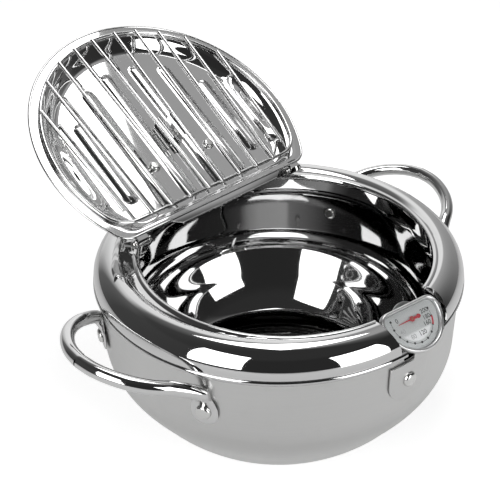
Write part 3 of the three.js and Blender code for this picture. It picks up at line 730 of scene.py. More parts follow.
@dataclass
class Rivet:
    """A rivet: shank through a stack, flat-topped head outside, small head inside."""

    head: float = 4.0
    height: float = 2.2
    shank: float = 2.0
    inner_height: float = 1.6

    def form(self, stack: float) -> Form:
        """The rivet along +Z, its stack starting at nought."""
        slope = bend((1, 0), (0.97, 0.7), (0.8, 1), (0.5, 1), 9)
        dome = [(self.head * c, stack + self.height * s) for c, s in slope] + [(0, stack + self.height)]
        foot = [(0, -self.inner_height)]
        foot += [(self.head * c, -self.inner_height * s) for c, s in slope[::-1]]
        return Form().revolve([*foot, (self.shank, 0), (self.shank, stack), *dome], 40)


class Assembly:
    """What every sub-assembly does with its finished pieces."""

    body: ClassVar[str]

    def dress(
        self,
        piece: bpy.types.Object,
        finishes: Sequence,
        *nodes: str,
        slot: str = "polished_steel",
        body: str = "",
    ) -> None:
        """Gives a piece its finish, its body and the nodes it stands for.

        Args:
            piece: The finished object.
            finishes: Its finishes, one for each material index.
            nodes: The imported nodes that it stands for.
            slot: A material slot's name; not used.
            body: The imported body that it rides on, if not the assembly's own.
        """
        piece.data.materials.clear()
        for finish in finishes:
            piece.data.materials.append(finished(finish))
        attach(piece, body or self.body)
        if nodes:
            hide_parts(*nodes)
        LOG.info("%s: %d faces on %s", piece.name, len(piece.data.polygons), body or self.body)

    def rivet(self, node: str, shape: Rivet, stack: float, place: Matrix) -> None:
        """Builds a rivet.

        Args:
            node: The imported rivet.
            shape: Its sizes.
            stack: Thickness of what it holds.
            place: Turns +Z into its axis, from the stack's inner face.
        """
        head = shape.form(stack).piece(node.replace("rivet", "rivet_head"), place)
        self.dress(head, [Palette.rivet], node)


def outward(azimuth: float, radius: float, height: float) -> Matrix:
    """Turns +Z to point out from the pot's axis at an azimuth in degrees."""
    turn = math.radians(azimuth)
    spot = Vector((radius * math.cos(turn), radius * math.sin(turn), height))
    return Matrix.Translation(spot) @ Matrix.Rotation(turn, 4, "Z") @ LIE


# ---------------------------------------------------------------- pan


@dataclass
class Pan(Assembly):
    """The spun bowl with its rolled rim, and the notch for the thermometer."""

    wall_radius: float = 119.2
    wall: float = 1.0
    base_radius: float = 79.0
    rim_height: float = 102.7
    bead: float = 1.9
    bead_out: float = 0.9
    notch_width: float = 35.0
    notch_centre: float = 2.0
    notch_floor: float = 95.5
    notch_corner: float = 3.0
    corner_pulls: tuple[Flat, Flat] = ((82.0, 0.0), (84.4, 1.7))
    cone_foot: Flat = (87.0, 4.0)
    cone_pulls: tuple[Flat, Flat] = ((91.8, 8.3), (98.6, 16.2))
    cone_top: Flat = (102.3, 22.0)
    belly_pulls: tuple[Flat, Flat] = ((109.3, 33.0), (119.2, 43.0))
    shoulder: float = 60.0
    body: ClassVar[str] = "pan"

    def outside(self) -> list[Flat]:
        """The outer line, from the edge of the flat base up to the shoulder."""
        corner = bend((self.base_radius, 0), *self.corner_pulls, self.cone_foot, 8)
        cone = bend(self.cone_foot, *self.cone_pulls, self.cone_top, 14)
        belly = bend(self.cone_top, *self.belly_pulls, (self.wall_radius, self.shoulder), 26)
        return corner + cone[1:-1] + belly

    def build(self) -> None:
        """Builds the pan, satin outside and mirror inside."""
        outer = self.outside()
        inner = thickened(outer, self.wall)[::-1]
        inside = self.wall_radius - self.wall
        start = -math.degrees(math.acos(-self.bead_out / self.bead))
        centre = (self.wall_radius + self.bead_out, self.rim_height)
        bead = arc(centre, self.bead, start, 180, 16)
        profile = [(0, 0)] + straight((0, 0), (self.base_radius, 0), 12)[:-1] + outer
        profile += straight(outer[-1], bead[0], 10)[:-1] + bead[:-1] + [(inside, self.rim_height)]
        profile += straight(profile[-1], inner[0], 12)[:-1] + inner[:-1]
        foot = (inner[-1][0], self.wall)
        profile += [foot] + straight(foot, (0, self.wall), 12)
        pan = Form().revolve(profile, 160).piece("pan_body_skin")
        half, corner = self.notch_width / 2, self.notch_corner
        low, high = self.notch_floor, self.rim_height + 2 * self.bead
        outline = [(-half, high)] + arc((corner - half, low + corner), corner, 180, 270, 6)
        outline += arc((half - corner, low + corner), corner, 270, 360, 6) + [(half, high)]
        front = Matrix.Translation((self.notch_centre, 0, 0)) @ STAND
        carve(pan, Form().plate(outline, 100, 130).placed(front))
        self.dress(pan, [Palette.satin, Palette.bowl], "pan_body", slot="satin_steel")
        for face in pan.data.polygons:
            x, y, z = face.center / MM
            inward = face.normal.x * x + face.normal.y * y < 0
            rolled = z > self.rim_height - self.bead
            face.material_index = int(inward or rolled or (face.normal.z > 0.5 and z < self.rim_height / 2))


@dataclass
class LoopHandles(Assembly):
    """Two bent rods with flattened tongues, each held by two rivets."""

    spread: float = 24.35
    tongue_thickness: float = 2.4
    tongue: tuple[Flat, ...] = ((0.0, 66.0), (0.0, 72.0), (0.0, 79.0), (0.6, 85.0), (2.4, 90.4))
    rivet_height: float = 75.5
    base: Flat = (120.0, 97.2)
    reach: float = 38.6
    half_width: float = 45.2
    tilt: float = 19.8
    power: float = 1.81
    bow_shares: tuple[float, ...] = (0.2, 0.36, 0.54, 0.72, 0.87, 0.96, 1.0)
    sections: tuple[Triple, ...] = (
        (0.0, 0.5, 2.2), (0.012, 0.9, 4.9), (0.035, 1.15, 7.0), (0.07, 1.2, 8.3), (0.11, 1.2, 8.7),
        (0.17, 1.25, 8.5), (0.22, 1.7, 7.4), (0.265, 2.6, 5.9), (0.31, 3.6, 4.8), (0.36, 4.2, 4.35),
        (0.4, 4.3, 4.3), (1.0, 4.3, 4.3),
    )
    body: ClassVar[str] = "pan"

    def path(self) -> list[Vector]:
        """The centre line of half a handle, from the tongue's foot to the apex."""
        turn, slope = math.radians(self.spread), math.radians(self.tilt)
        flat = SEAT + self.tongue_thickness / 2
        knots = [Vector(((flat + r) * math.cos(turn), (flat + r) * math.sin(turn), z)) for r, z in self.tongue]
        for share in self.bow_shares:
            half = self.half_width * (1 - share**self.power) ** (1 / self.power)
            out = self.reach * share
            spot = (self.base[0] + out * math.cos(slope), half, self.base[1] + out * math.sin(slope))
            knots.append(Vector(spot))
        path = smooth_path(knots, 8)
        path[-1].y = 0
        return path

    def section(self, share: float) -> Flat:
        """Half thickness and half width of the rod at a share of the half handle."""
        for (low, a, b), (high, c, d) in zip(self.sections, self.sections[1:]):
            if share <= high:
                part = (share - low) / (high - low)
                return a + (c - a) * part, b + (d - b) * part
        return self.sections[-1][1:]

    def build(self) -> None:
        """Builds the two handles and their four rivets."""
        turn = math.radians(self.spread)
        out = Vector((math.cos(turn), math.sin(turn), 0))
        middle = 0.5
        for side, place in (("right", HERE), ("left", Matrix.Rotation(math.pi, 4, "Z"))):
            form = Form().tube(self.path(), self.section, out, 28)
            caps = [f for f in form.bm.faces if len(f.verts) > 4 and abs(f.calc_center_median().y) < middle]
            bmesh.ops.delete(form.bm, geom=caps, context="FACES_ONLY")
            for vert in form.bm.verts:
                if abs(vert.co.y) < middle:
                    vert.co.y = 0
            form.mirrored("Y")
            bmesh.ops.remove_doubles(form.bm, verts=form.bm.verts, dist=0.02)
            self.dress(form.piece(f"{side}_handle_rod", place, 50), [Palette.rod], f"{side}_handle")
        stack = SEAT + self.tongue_thickness - WALL_INSIDE
        turns = {
            "right_handle_back": self.spread, "right_handle_front": -self.spread,
            "left_handle_back": 180 - self.spread, "left_handle_front": 180 + self.spread,
        }
        for name, azimuth in turns.items():
            place = outward(azimuth, WALL_INSIDE, self.rivet_height)
            self.rivet(f"{name}_rivet", Rivet(PAN_RIVET), stack, place)


# ---------------------------------------------------------------- collar


@dataclass
class Collar(Assembly):
    """The domed splash collar with its round opening, and the hinge's fixed side."""

    radius: float = 121.3
    sheet: float = 1.0
    foot: float = 104.9
    waist: float = 107.0
    crest: Flat = (107.0, 120.7)
    web: Flat = (101.0, 118.9)
    opening: float = 94.5
    opening_y: float = -7.0
    bead: float = 2.2
    lip_height: float = 118.4
    skirt: float = 15.0
    locator: float = 117.6
    locator_depth: float = 7.0
    notch: float = 24.6
    notch_at: Flat = (1.5, -108.0)
    pin_radius: float = 1.5
    ear_gap: float = 9.0
    ear: float = 1.2
    ear_front: float = 57.7
    ear_depth: float = 8.0
    ear_shoulder: float = 2.4
    ear_round: float = 3.0
    pin_head: float = 2.3
    heel: Flat = (70.5, 75.4)
    body: ClassVar[str] = "collar"

    def opening_outline(self) -> list[Flat]:
        """The round opening's inner edge."""
        return arc((0, self.opening_y), self.opening, 0, 358, 179)

    def dome(self) -> tuple[list[Flat], list[Flat]]:
        """The dome's outer line, from the foot to the crest, and the fall inside the crest."""
        rise = bend(
            (self.radius, self.waist), (self.radius - 0.5, (self.waist + self.crest[1]) / 2),
            ((self.radius + self.crest[0]) / 2, self.crest[1]), self.crest, 22,
        )
        third = (self.crest[0] - self.web[0]) / 3
        pull_a = (self.crest[0] - third, self.crest[1])
        pull_b = (self.web[0] + third, self.web[1] + (self.crest[1] - self.web[1]) * 2 / 3)
        return [(self.radius, self.foot)] + rise, bend(self.crest, pull_a, pull_b, self.web, 10)

    def height_at(self, reach: float) -> float:
        """Height of the dome inside its crest, at a distance from the axis."""
        fall = self.dome()[1]
        if reach <= self.web[0]:
            return self.web[1]
        for (r0, z0), (r1, z1) in zip(fall, fall[1:]):
            if r0 >= reach >= r1:
                return z1 + (z0 - z1) * (reach - r1) / max(r0 - r1, 1e-9)
        return self.crest[1]

    def rings(self) -> list[Ring]:
        """The rings of the closed section, from the foot over the dome, the lip and back underneath."""
        outline = self.opening_outline()
        ways = [Vector(point).normalized() for point in outline]
        rise, fall = self.dome()

        def circle(radius: float, height: float) -> Ring:
            return [Vector((way.x * radius, way.y * radius, height)) for way in ways]

        def inner(radius: float, clear: float, drop: float) -> Ring:
            ring = []
            for way, edge in zip(ways, offset(outline, 2 * self.bead + clear)):
                reach = max(radius, edge.xy.length)
                ring.append(Vector((way.x * reach, way.y * reach, self.height_at(reach) - drop)))
            return ring

        def lip(*angles: float) -> list[Ring]:
            spots = [arc((self.bead, self.lip_height), self.bead, a, a + 1, 1)[0] for a in angles]
            return [offset(outline, out, height) for out, height in spots]

        rings = [circle(r, z) for r, z in rise]
        rings += [inner(r, 0.04 * (10 - i), 0) for i, (r, _) in enumerate(fall[1:])]
        contact = offset(outline, 2 * self.bead)
        rings.append([Vector((edge.x, edge.y, self.height_at(edge.xy.length))) for edge in contact])
        rings += lip(*range(48, 241, 16), 254)
        half, bottom = self.sheet / 2, self.lip_height - self.skirt
        skirt = (
            (-half, bottom + 6), (-half, bottom + half), (-half * 0.6, bottom),
            (half * 0.6, bottom), (half, bottom + half), (half, bottom + 6),
        )
        rings += [offset(outline, self.bead + out, height) for out, height in skirt]
        rings += lip(284, 310, 336)
        rings += [inner(r, 0.1, self.sheet) for r, _ in fall[::-3]]
        rings += [circle(r - self.sheet, z - self.sheet / 2) for r, z in rise[-4:0:-3]]
        inside, tip = self.locator - self.sheet, self.foot - self.locator_depth
        rings += [circle(inside, self.foot + self.sheet), circle(inside, tip)]
        rings += [circle(self.locator, tip), circle(self.locator, self.foot)]
        return rings

    def build_all(self) -> None:
        """Builds the collar and the hinge's fixed side."""
        self.build_ring()
        self.build_notch_wall()
        self.build_hinge()

    def build_ring(self) -> None:
        """Builds the collar with its thermometer notch."""
        collar = Form().loft(self.rings(), looped=True).piece("splash_collar_skin")
        low, high = self.foot - self.locator_depth - 2, self.crest[1] + 4
        place = Matrix.Translation((*self.notch_at, 0))
        carve(collar, Form().cylinder(self.notch, low, high, 96).placed(place))
        self.dress(collar, [Palette.mirror], "splash_collar")

    def build_notch_wall(self) -> None:
        """Builds the pressed wall round the thermometer, from the dome down to the brim."""
        rise, fall = self.dome()
        under = [(0, self.foot + GAP), (self.radius - GAP, self.foot + GAP)]
        outer, low, high = self.notch + self.sheet, self.foot - 3, self.crest[1] + 3
        ring = [(self.notch, low), (outer, low), (outer, high), (self.notch, high), (self.notch, low)]
        wall = Form().revolve(ring, 128).placed(Matrix.Translation((*self.notch_at, 0)))
        wall = wall.piece("collar_notch_wall")
        carve(wall, Form().revolve(under + rise[1:] + fall[1:] + [(0, self.web[1])]), "INTERSECT")
        outline = offset(self.opening_outline(), self.bead, self.foot - 6)
        carve(wall, Form().loft([outline, [p + UP * 30 for p in outline]], capped=True))
        self.dress(wall, [Palette.mirror])

    def build_hinge(self) -> None:
        """Builds the bent ear plates, each on a heel, and the pins on both sides."""
        foot = self.lip_height + self.bead + GAP
        front, back, side_top = self.ear_front, self.ear_front + self.ear_depth, foot + self.ear_shoulder
        y, z = PIN
        ear = [(front, foot), (back, foot), (back, side_top)]
        ear += [*arc((y, z), self.ear_round, 60, 252, 16), (front, side_top)]
        bore = self.pin_radius + GAP
        half, head = self.ear_gap / 2 + self.ear + GAP, self.pin_head
        profile = [(0, -half - 1), (head - 0.3, -half - 1), (head, -half - 0.7), (head, -half)]
        profile += [(self.pin_radius, -half)]
        profile += [(r, -h) for r, h in profile[::-1]]
        for side, name in ((-1, "left"), (1, "right")):
            form = Form()
            inner = side * PIN_X - self.ear_gap / 2 - self.ear
            outer = side * PIN_X + self.ear_gap / 2
            for x in (inner, outer):
                form.joined(Form().plate(ear, x, x + self.ear, 0.25).placed(ALONG_X))
            base = [(inner, front), (outer + self.ear, front), (outer + self.ear, back), (inner, back)]
            form.joined(Form().plate(base, foot, foot + self.ear, 0.25))
            near, far = side * self.heel[0], side * self.heel[1]
            heel = [(near, back - 3.5), (far, back - 3.5), (far, back - 0.3), (near, back - 0.3)]
            form.joined(Form().plate(heel[::side], self.web[1] + 0.1, foot + GAP, 0.2))
            bracket = form.piece(f"hinge_ears_{name}")
            place = Matrix.Translation((side * PIN_X, y, z)) @ LIE
            carve(bracket, Form().cylinder(bore, -12, 12, 24).placed(place))
            self.dress(bracket, [Palette.rod], f"hinge_bracket_{name}")
            pin = Form().revolve(profile, 28).piece(f"hinge_pin_rod_{name}", place)
            self.dress(pin, [Palette.rivet], f"hinge_pin_{name}")


# ---------------------------------------------------------------- lid


@dataclass
class Lid(Assembly):
    """The pressed lid with its ribs, edge bead, hinge eyes, arch handle and rack clip.

    It is drawn closed, in the hinge pin's frame: x along the pin, -y away from it and z up.
    """

    radius: float = 100.2
    sheet: float = 0.8
    drop: float = 4.5
    edge: float = 0.9
    centre_y: float = -61.0
    chord: float = 58.5
    corner: float = 14.0
    flange: float = 7.0
    flange_steps: Flat = (95.0, 97.0)
    well: float = 78.0
    wall_pulls: Flat = (85.5, 86.5)
    rise: float = 7.5
    grid: tuple[int, int] = (190, 160)
    grid_half: float = 80.0
    grid_shift: float = -14.0
    weld: float = 0.15
    chord_share: float = 0.43
    rib_half: float = 5.0
    rib_depth: float = 1.6
    ribs: tuple[Triple, ...] = (
        (13.0, 14.0, 128.0), (34.2, 14.0, 120.5), (55.4, 28.0, 98.0), (76.6, 28.0, 92.0),
    )
    lip_left: float = 47.0
    lip_right: float = 58.0
    lip_reach: float = 2.4
    arch_y: float = -46.5
    arch_rivet: float = 24.5
    arch_leg: float = 34.5
    arch_height: float = 27.0
    arch_corner: float = 14.0
    arch_rod: float = 3.6
    arch_pad: float = 1.6
    arch_pad_radius: float = 6.6
    clip_y: float = -65.0
    clip_half: float = 9.5
    clip_sheet: float = 0.8
    clip_wires: float = 7.9
    clip_grip: tuple[Flat, ...] = ((0.9, 2.6), (0.2, 0.6), (0.4, -0.8), (1.4, -2.4))
    open_turn: float = -147.4
    body: ClassVar[str] = "lid"

    @property
    def place(self) -> Matrix:
        """The hinge frame's place in the pot, with the lid open."""
        return Matrix.Translation((0, *PIN)) @ Matrix.Rotation(math.radians(self.open_turn), 4, "X")

    @property
    def flange_top(self) -> float:
        """Height of the flange's upper face."""
        return -self.drop + self.sheet / 2

    @property
    def well_top(self) -> float:
        """Height of the well's upper face."""
        return self.flange_top + self.rise

    def outline(self, radius: float) -> list[Flat]:
        """The lid's outline at a radius, in the hinge frame."""
        inset = self.radius - radius
        points = d_outline(radius, self.chord - inset * self.chord_share, self.corner * radius / self.radius)
        return [(x, y + self.centre_y) for x, y in points]

    def pressed(self, x: float, y: float) -> float:
        """How far the ribs press the sheet down at a point."""
        depth = 0.0
        for rib_x, near, far in self.ribs:
            past = max(self.rib_half - far - y, 0, y + near + self.rib_half)
            away = math.hypot(x - math.copysign(rib_x, x), past) / self.rib_half
            if away < 1:
                depth = max(depth, self.rib_depth * (1 - away**2) ** 1.25)
        return depth

    def build_all(self) -> None:
        """Builds the lid and all that is riveted to it."""
        self.build_shell()
        self.build_arch()
        self.build_clip()

    def build_shell(self) -> None:
        """Builds the lid's sheet: well with ribs, wall, flange and rolled edge."""
        form = Form()
        reach = self.well - 1
        inner = self.outline(reach)
        columns, rows = self.grid
        bmesh.ops.create_grid(form.bm, x_segments=columns, y_segments=rows, size=self.grid_half)
        bmesh.ops.translate(form.bm, verts=form.bm.verts, vec=(0, self.centre_y + self.grid_shift, 0))
        count = len(inner)
        for i in range(0, count, 2):
            (x0, y0), (x1, y1) = inner[i], inner[(i + 2) % count]
            out = Vector((y1 - y0, x0 - x1, 0))
            bmesh.ops.bisect_plane(
                form.bm, geom=form.all, dist=1e-5, plane_co=(x0, y0, 0), plane_no=out, clear_outer=True
            )
        bmesh.ops.remove_doubles(form.bm, verts=form.bm.verts, dist=self.weld)
        grid_rim = [e for e in form.bm.edges if e.is_boundary]
        top, low = self.well_top, self.flange_top
        (pull_top, pull_low), fall = self.wall_pulls, (self.radius - self.flange, low)
        wall = bend((self.well, top), (pull_top, top), (pull_low, low), fall, 18)
        edge = self.radius - self.edge
        flat = [(r, low) for r in (*self.flange_steps, edge - 0.6, edge)]
        rings = [raised(self.outline(r), z) for r, z in [(reach + 0.6, top), *wall, *flat]]
        bmesh.ops.translate(form.bm, verts=form.bm.verts, vec=(0, 0, top))
        form.loft(rings)
        bmesh.ops.bridge_loops(form.bm, edges=grid_rim + form.rims[0])
        for vert in form.bm.verts:
            vert.co.z -= self.pressed(vert.co.x, vert.co.y)
        under = bmesh.ops.duplicate(form.bm, geom=form.all)["geom"]
        bmesh.ops.translate(form.bm, verts=verts_of(under), vec=(0, 0, -self.sheet))
        bmesh.ops.bridge_loops(form.bm, edges=[e for e in form.bm.edges if e.is_boundary])
        middle = low - self.sheet / 2
        rolled = self.outline(edge)
        bead = [offset(rolled, self.edge * c, middle + self.edge * s) for c, s in arc(ORIGIN, 1, 0, 330, 11)]
        form.joined(Form().loft(bead, looped=True))
        for side in (-1, 1):
            form.joined(self.eye(side))
        form.joined(self.drip_lip())
        self.dress(form.piece("lid_shell_skin", self.place, 60), [Palette.sheet], "lid_shell")

    def eye(self, side: int) -> Form:
        """A strap rolled round the hinge pin."""
        bore, outer, half = 1.8, 2.8, 3.9
        low = self.flange_top - self.sheet
        outline = [(-4.9, self.flange_top), (-4.9, low), (0.8, low)] + arc(ORIGIN, outer, -36, 180, 20)
        outline += arc(ORIGIN, bore, 180, -180, 28)[:-1]
        return Form().plate(outline, side * PIN_X - half, side * PIN_X + half).placed(ALONG_X)

    def drip_lip(self) -> Form:
        """The strip below the hinge line, turned down from the straight edge, with slanted ends."""
        low, reach, slant = self.flange_top - self.sheet, self.lip_reach, 9
        start = self.centre_y + self.chord - 0.6
        left, right = slant - self.lip_left, self.lip_right - slant
        ends = [(self.lip_right, start), (right, reach), (left, reach), (-self.lip_left, start)]
        form = Form().plate(ends, low, low + self.sheet * 0.8, 0.2)
        return form.joined(Form().tube([Vector((x, reach, low + 0.35)) for x in (left, right)], 0.55, UP, 10))

    def build_arch(self) -> None:
        """Builds the arch handle outside, with its two rivets."""
        foot, pad = self.well_top + GAP, self.arch_pad
        top, leg, corner = foot + self.arch_height, self.arch_leg, self.arch_corner
        halves = []
        for side in (-1, 1):
            run = [(leg, foot + 0.8), (leg, foot + 6)] + arc((leg - corner, top - corner), corner, 0, 90, 10)
            halves.append([Vector((side * x, self.arch_y, z)) for x, z in run])
        path = halves[0] + [Vector((0, self.arch_y, top))] + halves[1][::-1]
        form = Form().tube(path, self.arch_rod, Vector((0, 1, 0)), 24)
        outline = arc((self.arch_rivet, 0), self.arch_pad_radius, 90, 270, 20)
        outline += arc((leg, 0), self.arch_rod, -90, 90, 14)
        for turn in (math.pi, 0):
            place = Matrix.Translation((0, self.arch_y, 0)) @ Matrix.Rotation(turn, 4, "Z")
            form.joined(Form().plate(outline, foot, foot + pad, 0.4).placed(place))
        self.dress(form.piece("lid_handle_arch", self.place, 45), [Palette.rod], "lid_handle")
        for side, name in ((-1, "left"), (1, "right")):
            spot = Matrix.Translation((side * self.arch_rivet, self.arch_y, self.well_top - self.sheet))
            shape = Rivet(height=1.8, inner_height=2.4)
            self.rivet(f"lid_handle_rivet_{name}", shape, self.sheet + GAP + pad, self.place @ spot)

    def build_clip(self) -> None:
        """Builds the spring clip that grips the rack's two middle wires, and its rivet."""
        ceiling = self.well_top - self.sheet - GAP
        level = RACK_LEVEL - WIRE
        half = self.clip_wires - WIRE - GAP
        line = [(0.0, ceiling)] + arc((half - 2.6, ceiling - 2.0), 2.0, 90, 0, 6)
        line += [(half - inset, level + rise) for inset, rise in self.clip_grip]
        under = thickened(line, -self.clip_sheet)
        outline = [(-x, y) for x, y in line[:0:-1]] + line + under[::-1] + [(-x, y) for x, y in under[1:]]
        stand = Matrix.Translation((0, self.clip_y, 0)) @ STAND
        form = Form().plate(outline, -self.clip_half, self.clip_half).placed(stand)
        self.dress(form.piece("rack_clip_spring", self.place, 40), [Palette.rod], "rack_clip")
        spot = Matrix.Translation((0, self.clip_y, ceiling - self.clip_sheet))
        shape = Rivet(head=3.4, height=1.4, inner_height=1.2)
        self.rivet("rack_clip_rivet", shape, self.clip_sheet + GAP + self.sheet, self.place @ spot)


@dataclass
class Rack(Assembly):
    """The wire draining rack: a D-shaped rim with ten straight wires on it."""

    radius: float = 92.3
    chord: float = 49.0
    corner: float = 20.0
    far_first: float = 9.9
    far_pitch: float = 17.0
    near_first: float = 6.0
    near_pitch: float = 16.5
    far_steps: tuple[float, ...] = (0.2, 0.5, 1.0)
    near_steps: tuple[float, ...] = (0.0, 0.9, 1.2)
    body: ClassVar[str] = "rack"

    def build(self, place: Matrix, centre_y: float) -> None:
        """Builds the rack in the lid's frame.

        Args:
            place: The lid's place.
            centre_y: Where the rim's round side is centred.
        """
        rim = [(x, y + centre_y) for x, y in d_outline(self.radius, self.chord, self.corner)]
        section = arc((0, RACK_LEVEL), WIRE, 0, 337.5, 15)
        form = Form().loft([offset(rim, out, height) for out, height in section], looped=True)
        level, tip = RACK_LEVEL - WIRE * 1.6, WIRE * 0.6

        def narrowed(share: float) -> Flat:
            return (tip, tip) if share in (0, 1) else (WIRE, WIRE)

        for i in range(5):
            for side in (-1, 1):
                far_x = side * (self.far_first + self.far_pitch * i)
                near_x = side * (self.near_first + self.near_pitch * i)
                far_y = centre_y - math.sqrt(self.radius**2 - far_x**2)
                slack = max(abs(near_x) - (self.radius - self.corner) * 0.72, 0)
                near_y = centre_y + self.chord - slack * slack / (2 * self.corner)
                start, end = Vector((far_x, far_y, level)), Vector((near_x, near_y, level))
                along = (end - start).normalized()
                path = [start + along * reach for reach in self.far_steps]
                path += [end + along * reach for reach in self.near_steps]
                form.joined(Form().tube(path, narrowed, UP, 16))
        self.dress(form.piece("wire_rack_frame", place, 50), [Palette.wire], "wire_rack")


# ---------------------------------------------------------------- thermometer


@dataclass
class Thermometer(Assembly):
    """The dial thermometer, drawn in the dial's frame: x right, y up the dial, z out of its face."""

    centre: Triple = (2.1, -108.5, 112.4)
    turn: float = -8.5
    tilt: float = 40.0
    case_radius: float = 21.9
    case_rise: float = 1.6
    case_flat: float = 9.4
    case_corner: float = 7.0
    bezel: tuple[Flat, ...] = (
        (2.0, CASE_BACK), (0.7, CASE_BACK), (0.2, CASE_BACK + 0.3), (0.0, CASE_BACK + 0.9), (0.0, 1.2),
        (0.15, 1.9), (0.5, 2.4), (1.0, 2.6), (1.5, 2.5), (2.0, 2.1), (2.2, 1.6), (2.25, 0.6), (2.3, -0.8),
        (2.6, -0.9), (4.0, -0.9),
    )
    window: tuple[Flat, ...] = ((2.5, 1.6), (2.5, 2.1), (3.0, 2.3), (5.0, 2.4), (7.0, 2.42))
    drum: float = 9.6
    drum_back: float = -6.0
    numbers: tuple[Flat, ...] = ((0, 1.0), (120, 1.0), (160, 0.4), (180, 0.2), (200, 0.0))
    faded_numbers: tuple[Flat, ...] = ((40, 0.6), (80, 0.6))
    frying: Flat = (160, 180)
    print_level: float = 0.02
    scale_radius: float = 14.5
    first_angle: float = 165.4
    degree_turn: float = 1.01
    label_radius: float = 11.2
    label_size: float = 3.9
    needle_level: float = 0.9
    stem_length: float = 104.0
    stem_radius: float = 2.0
    stem_bore: float = 1.5
    body: ClassVar[str] = "thermometer"

    @property
    def place(self) -> Matrix:
        """The dial frame's place in the pot."""
        turn, tilt = math.radians(self.turn), math.radians(self.tilt)
        turned = Matrix.Rotation(turn, 4, "Z") @ Matrix.Rotation(tilt, 4, "X")
        return Matrix.Translation(self.centre) @ turned

    def outline(self, inset: float) -> list[Flat]:
        """The case's outline, moved in by a distance."""
        corner = max(self.case_corner - inset, 0.5)
        points = d_outline(self.case_radius - inset, self.case_flat - self.case_rise - inset, corner, 84)
        return [(x, y + self.case_rise) for x, y in points]

    def build_all(self) -> None:
        """Builds the whole thermometer."""
        self.build_case()
        self.build_window()
        self.build_dial()
        self.build_needle()
        self.build_stem()

    def build_case(self) -> None:
        """Builds the case with its rounded bezel and the drum behind it."""
        form = Form().loft([raised(self.outline(inset), z) for inset, z in self.bezel], capped=True)
        radius, low, high = self.drum, self.drum_back, CASE_BACK + 0.1
        drum = [(0, low), (radius - 0.8, low), (radius - 0.2, low + 0.3), (radius, low + 0.9)]
        drum += [(radius, high), (0, high)]
        form.joined(Form().revolve(drum, 64))
        self.dress(form.piece("thermometer_bezel", self.place, 50), [Palette.case], "thermometer_case")

    def build_window(self) -> None:
        """Builds the slightly domed clear window."""
        form = Form().loft([raised(self.outline(inset), z) for inset, z in self.window], capped=True)
        window = form.piece("thermometer_window", self.place, 50)
        self.dress(window, [Palette.window], "thermometer_lens", slot="clear_lens")

    def build_dial(self) -> None:
        """Builds the dial sheet and its printed scale."""
        up = self.place.to_3x3() @ Vector((0, 1, 0))
        centre = self.place.translation * MM
        sheet = DialSheet("dial_sheet", (0.6, 0.62, 0.62), (0.86, 0.87, 0.88), tuple(centre), tuple(up))
        dial = Form().plate(self.outline(2.5), -0.5, 0.0, 0.1).piece("dial_sheet_plate", self.place)
        self.dress(dial, [sheet], "dial_face", slot="dial_sheet")
        scale, low = Form(), self.print_level
        for value in range(0, 201, 20):
            dot = arc(self.mark(value, self.scale_radius), 0.75, 0, 330, 11)
            scale.joined(Form().plate(dot, low, 0.05))
        scale.joined(Form().plate(self.band(self.scale_radius, 0.22, 0, 200), low, 0.045))
        frying = Form().plate(self.band(self.scale_radius + 0.15, 1.1, *self.frying), low, 0.055)
        dark, pale = Form(), Form()
        for form, numbers in ((dark, self.numbers), (pale, self.faded_numbers)):
            for value, shift in numbers:
                form.joined(self.number(value, shift))
        prints = (
            ("dial_scale", scale, Palette.ink), ("dial_frying_band", frying, Palette.red),
            ("dial_numbers", dark, Palette.ink), ("dial_faded_numbers", pale, Palette.faded),
        )
        for name, form, ink in prints:
            self.dress(form.piece(name, self.place), [ink], slot="dial_sheet")

    def mark(self, value: float, radius: float) -> Flat:
        """Where a value of the scale lies at a radius."""
        turn = math.radians(self.first_angle + self.degree_turn * value)
        return radius * math.cos(turn), radius * math.sin(turn)

    def band(self, radius: float, width: float, low: float, high: float) -> list[Flat]:
        """The outline of a stretch of the scale."""
        first, last = self.first_angle + self.degree_turn * low, self.first_angle + self.degree_turn * high
        outer = arc(ORIGIN, radius + width / 2, first, last, 60)
        return outer + arc(ORIGIN, radius - width / 2, last, first, 60)

    def number(self, value: int, shift: float) -> Form:
        """A printed number, inside its mark."""
        text = bpy.data.curves.new("number", "FONT")
        text.body = str(value)
        text.size = self.label_size
        text.align_x, text.align_y = "CENTER", "CENTER"
        text.offset = 0.025
        holder = bpy.data.objects.new("number", text)
        bpy.context.collection.objects.link(holder)
        bpy.context.view_layer.update()
        mesh = bpy.data.meshes.new_from_object(holder.evaluated_get(bpy.context.evaluated_depsgraph_get()))
        bpy.data.objects.remove(holder)
        bpy.data.curves.remove(text)
        x, y = self.mark(value, self.label_radius - shift)
        form = Form()
        form.bm.from_mesh(mesh)
        bpy.data.meshes.remove(mesh)
        return form.placed(Matrix.Translation((x, y, 0.04)))

    def build_needle(self) -> None:
        """Builds the needle with its hub and tail weight."""
        level = self.needle_level
        blade = [(-10.6, -0.15), (-2.0, -0.45), (2.0, -0.8), (6.2, -0.9), (6.6, -0.5)]
        outline = blade + [(x, -y) for x, y in blade[::-1]]
        form = Form().plate(outline, level, level + 0.3, 0.05)
        form.joined(Form().plate(arc(ORIGIN, 1.7, 0, 350, 35), level, level + 0.34, 0.08))
        form.joined(Form().plate(arc((5.0, 0), 1.35, 0, 345, 23), level, level + 0.32, 0.08))
        blade = form.piece("needle_blade", self.place)
        self.dress(blade, [Palette.needle], "needle", slot="red_needle", body="pointer")
        dome = [(0, level + 0.75), (0.5, level + 0.7), (0.85, level + 0.55), (0.95, level + 0.3)]
        hub = Form().revolve(dome, 24).piece("needle_hub_cap", self.place)
        self.dress(hub, [Palette.hub], slot="red_needle", body="pointer")

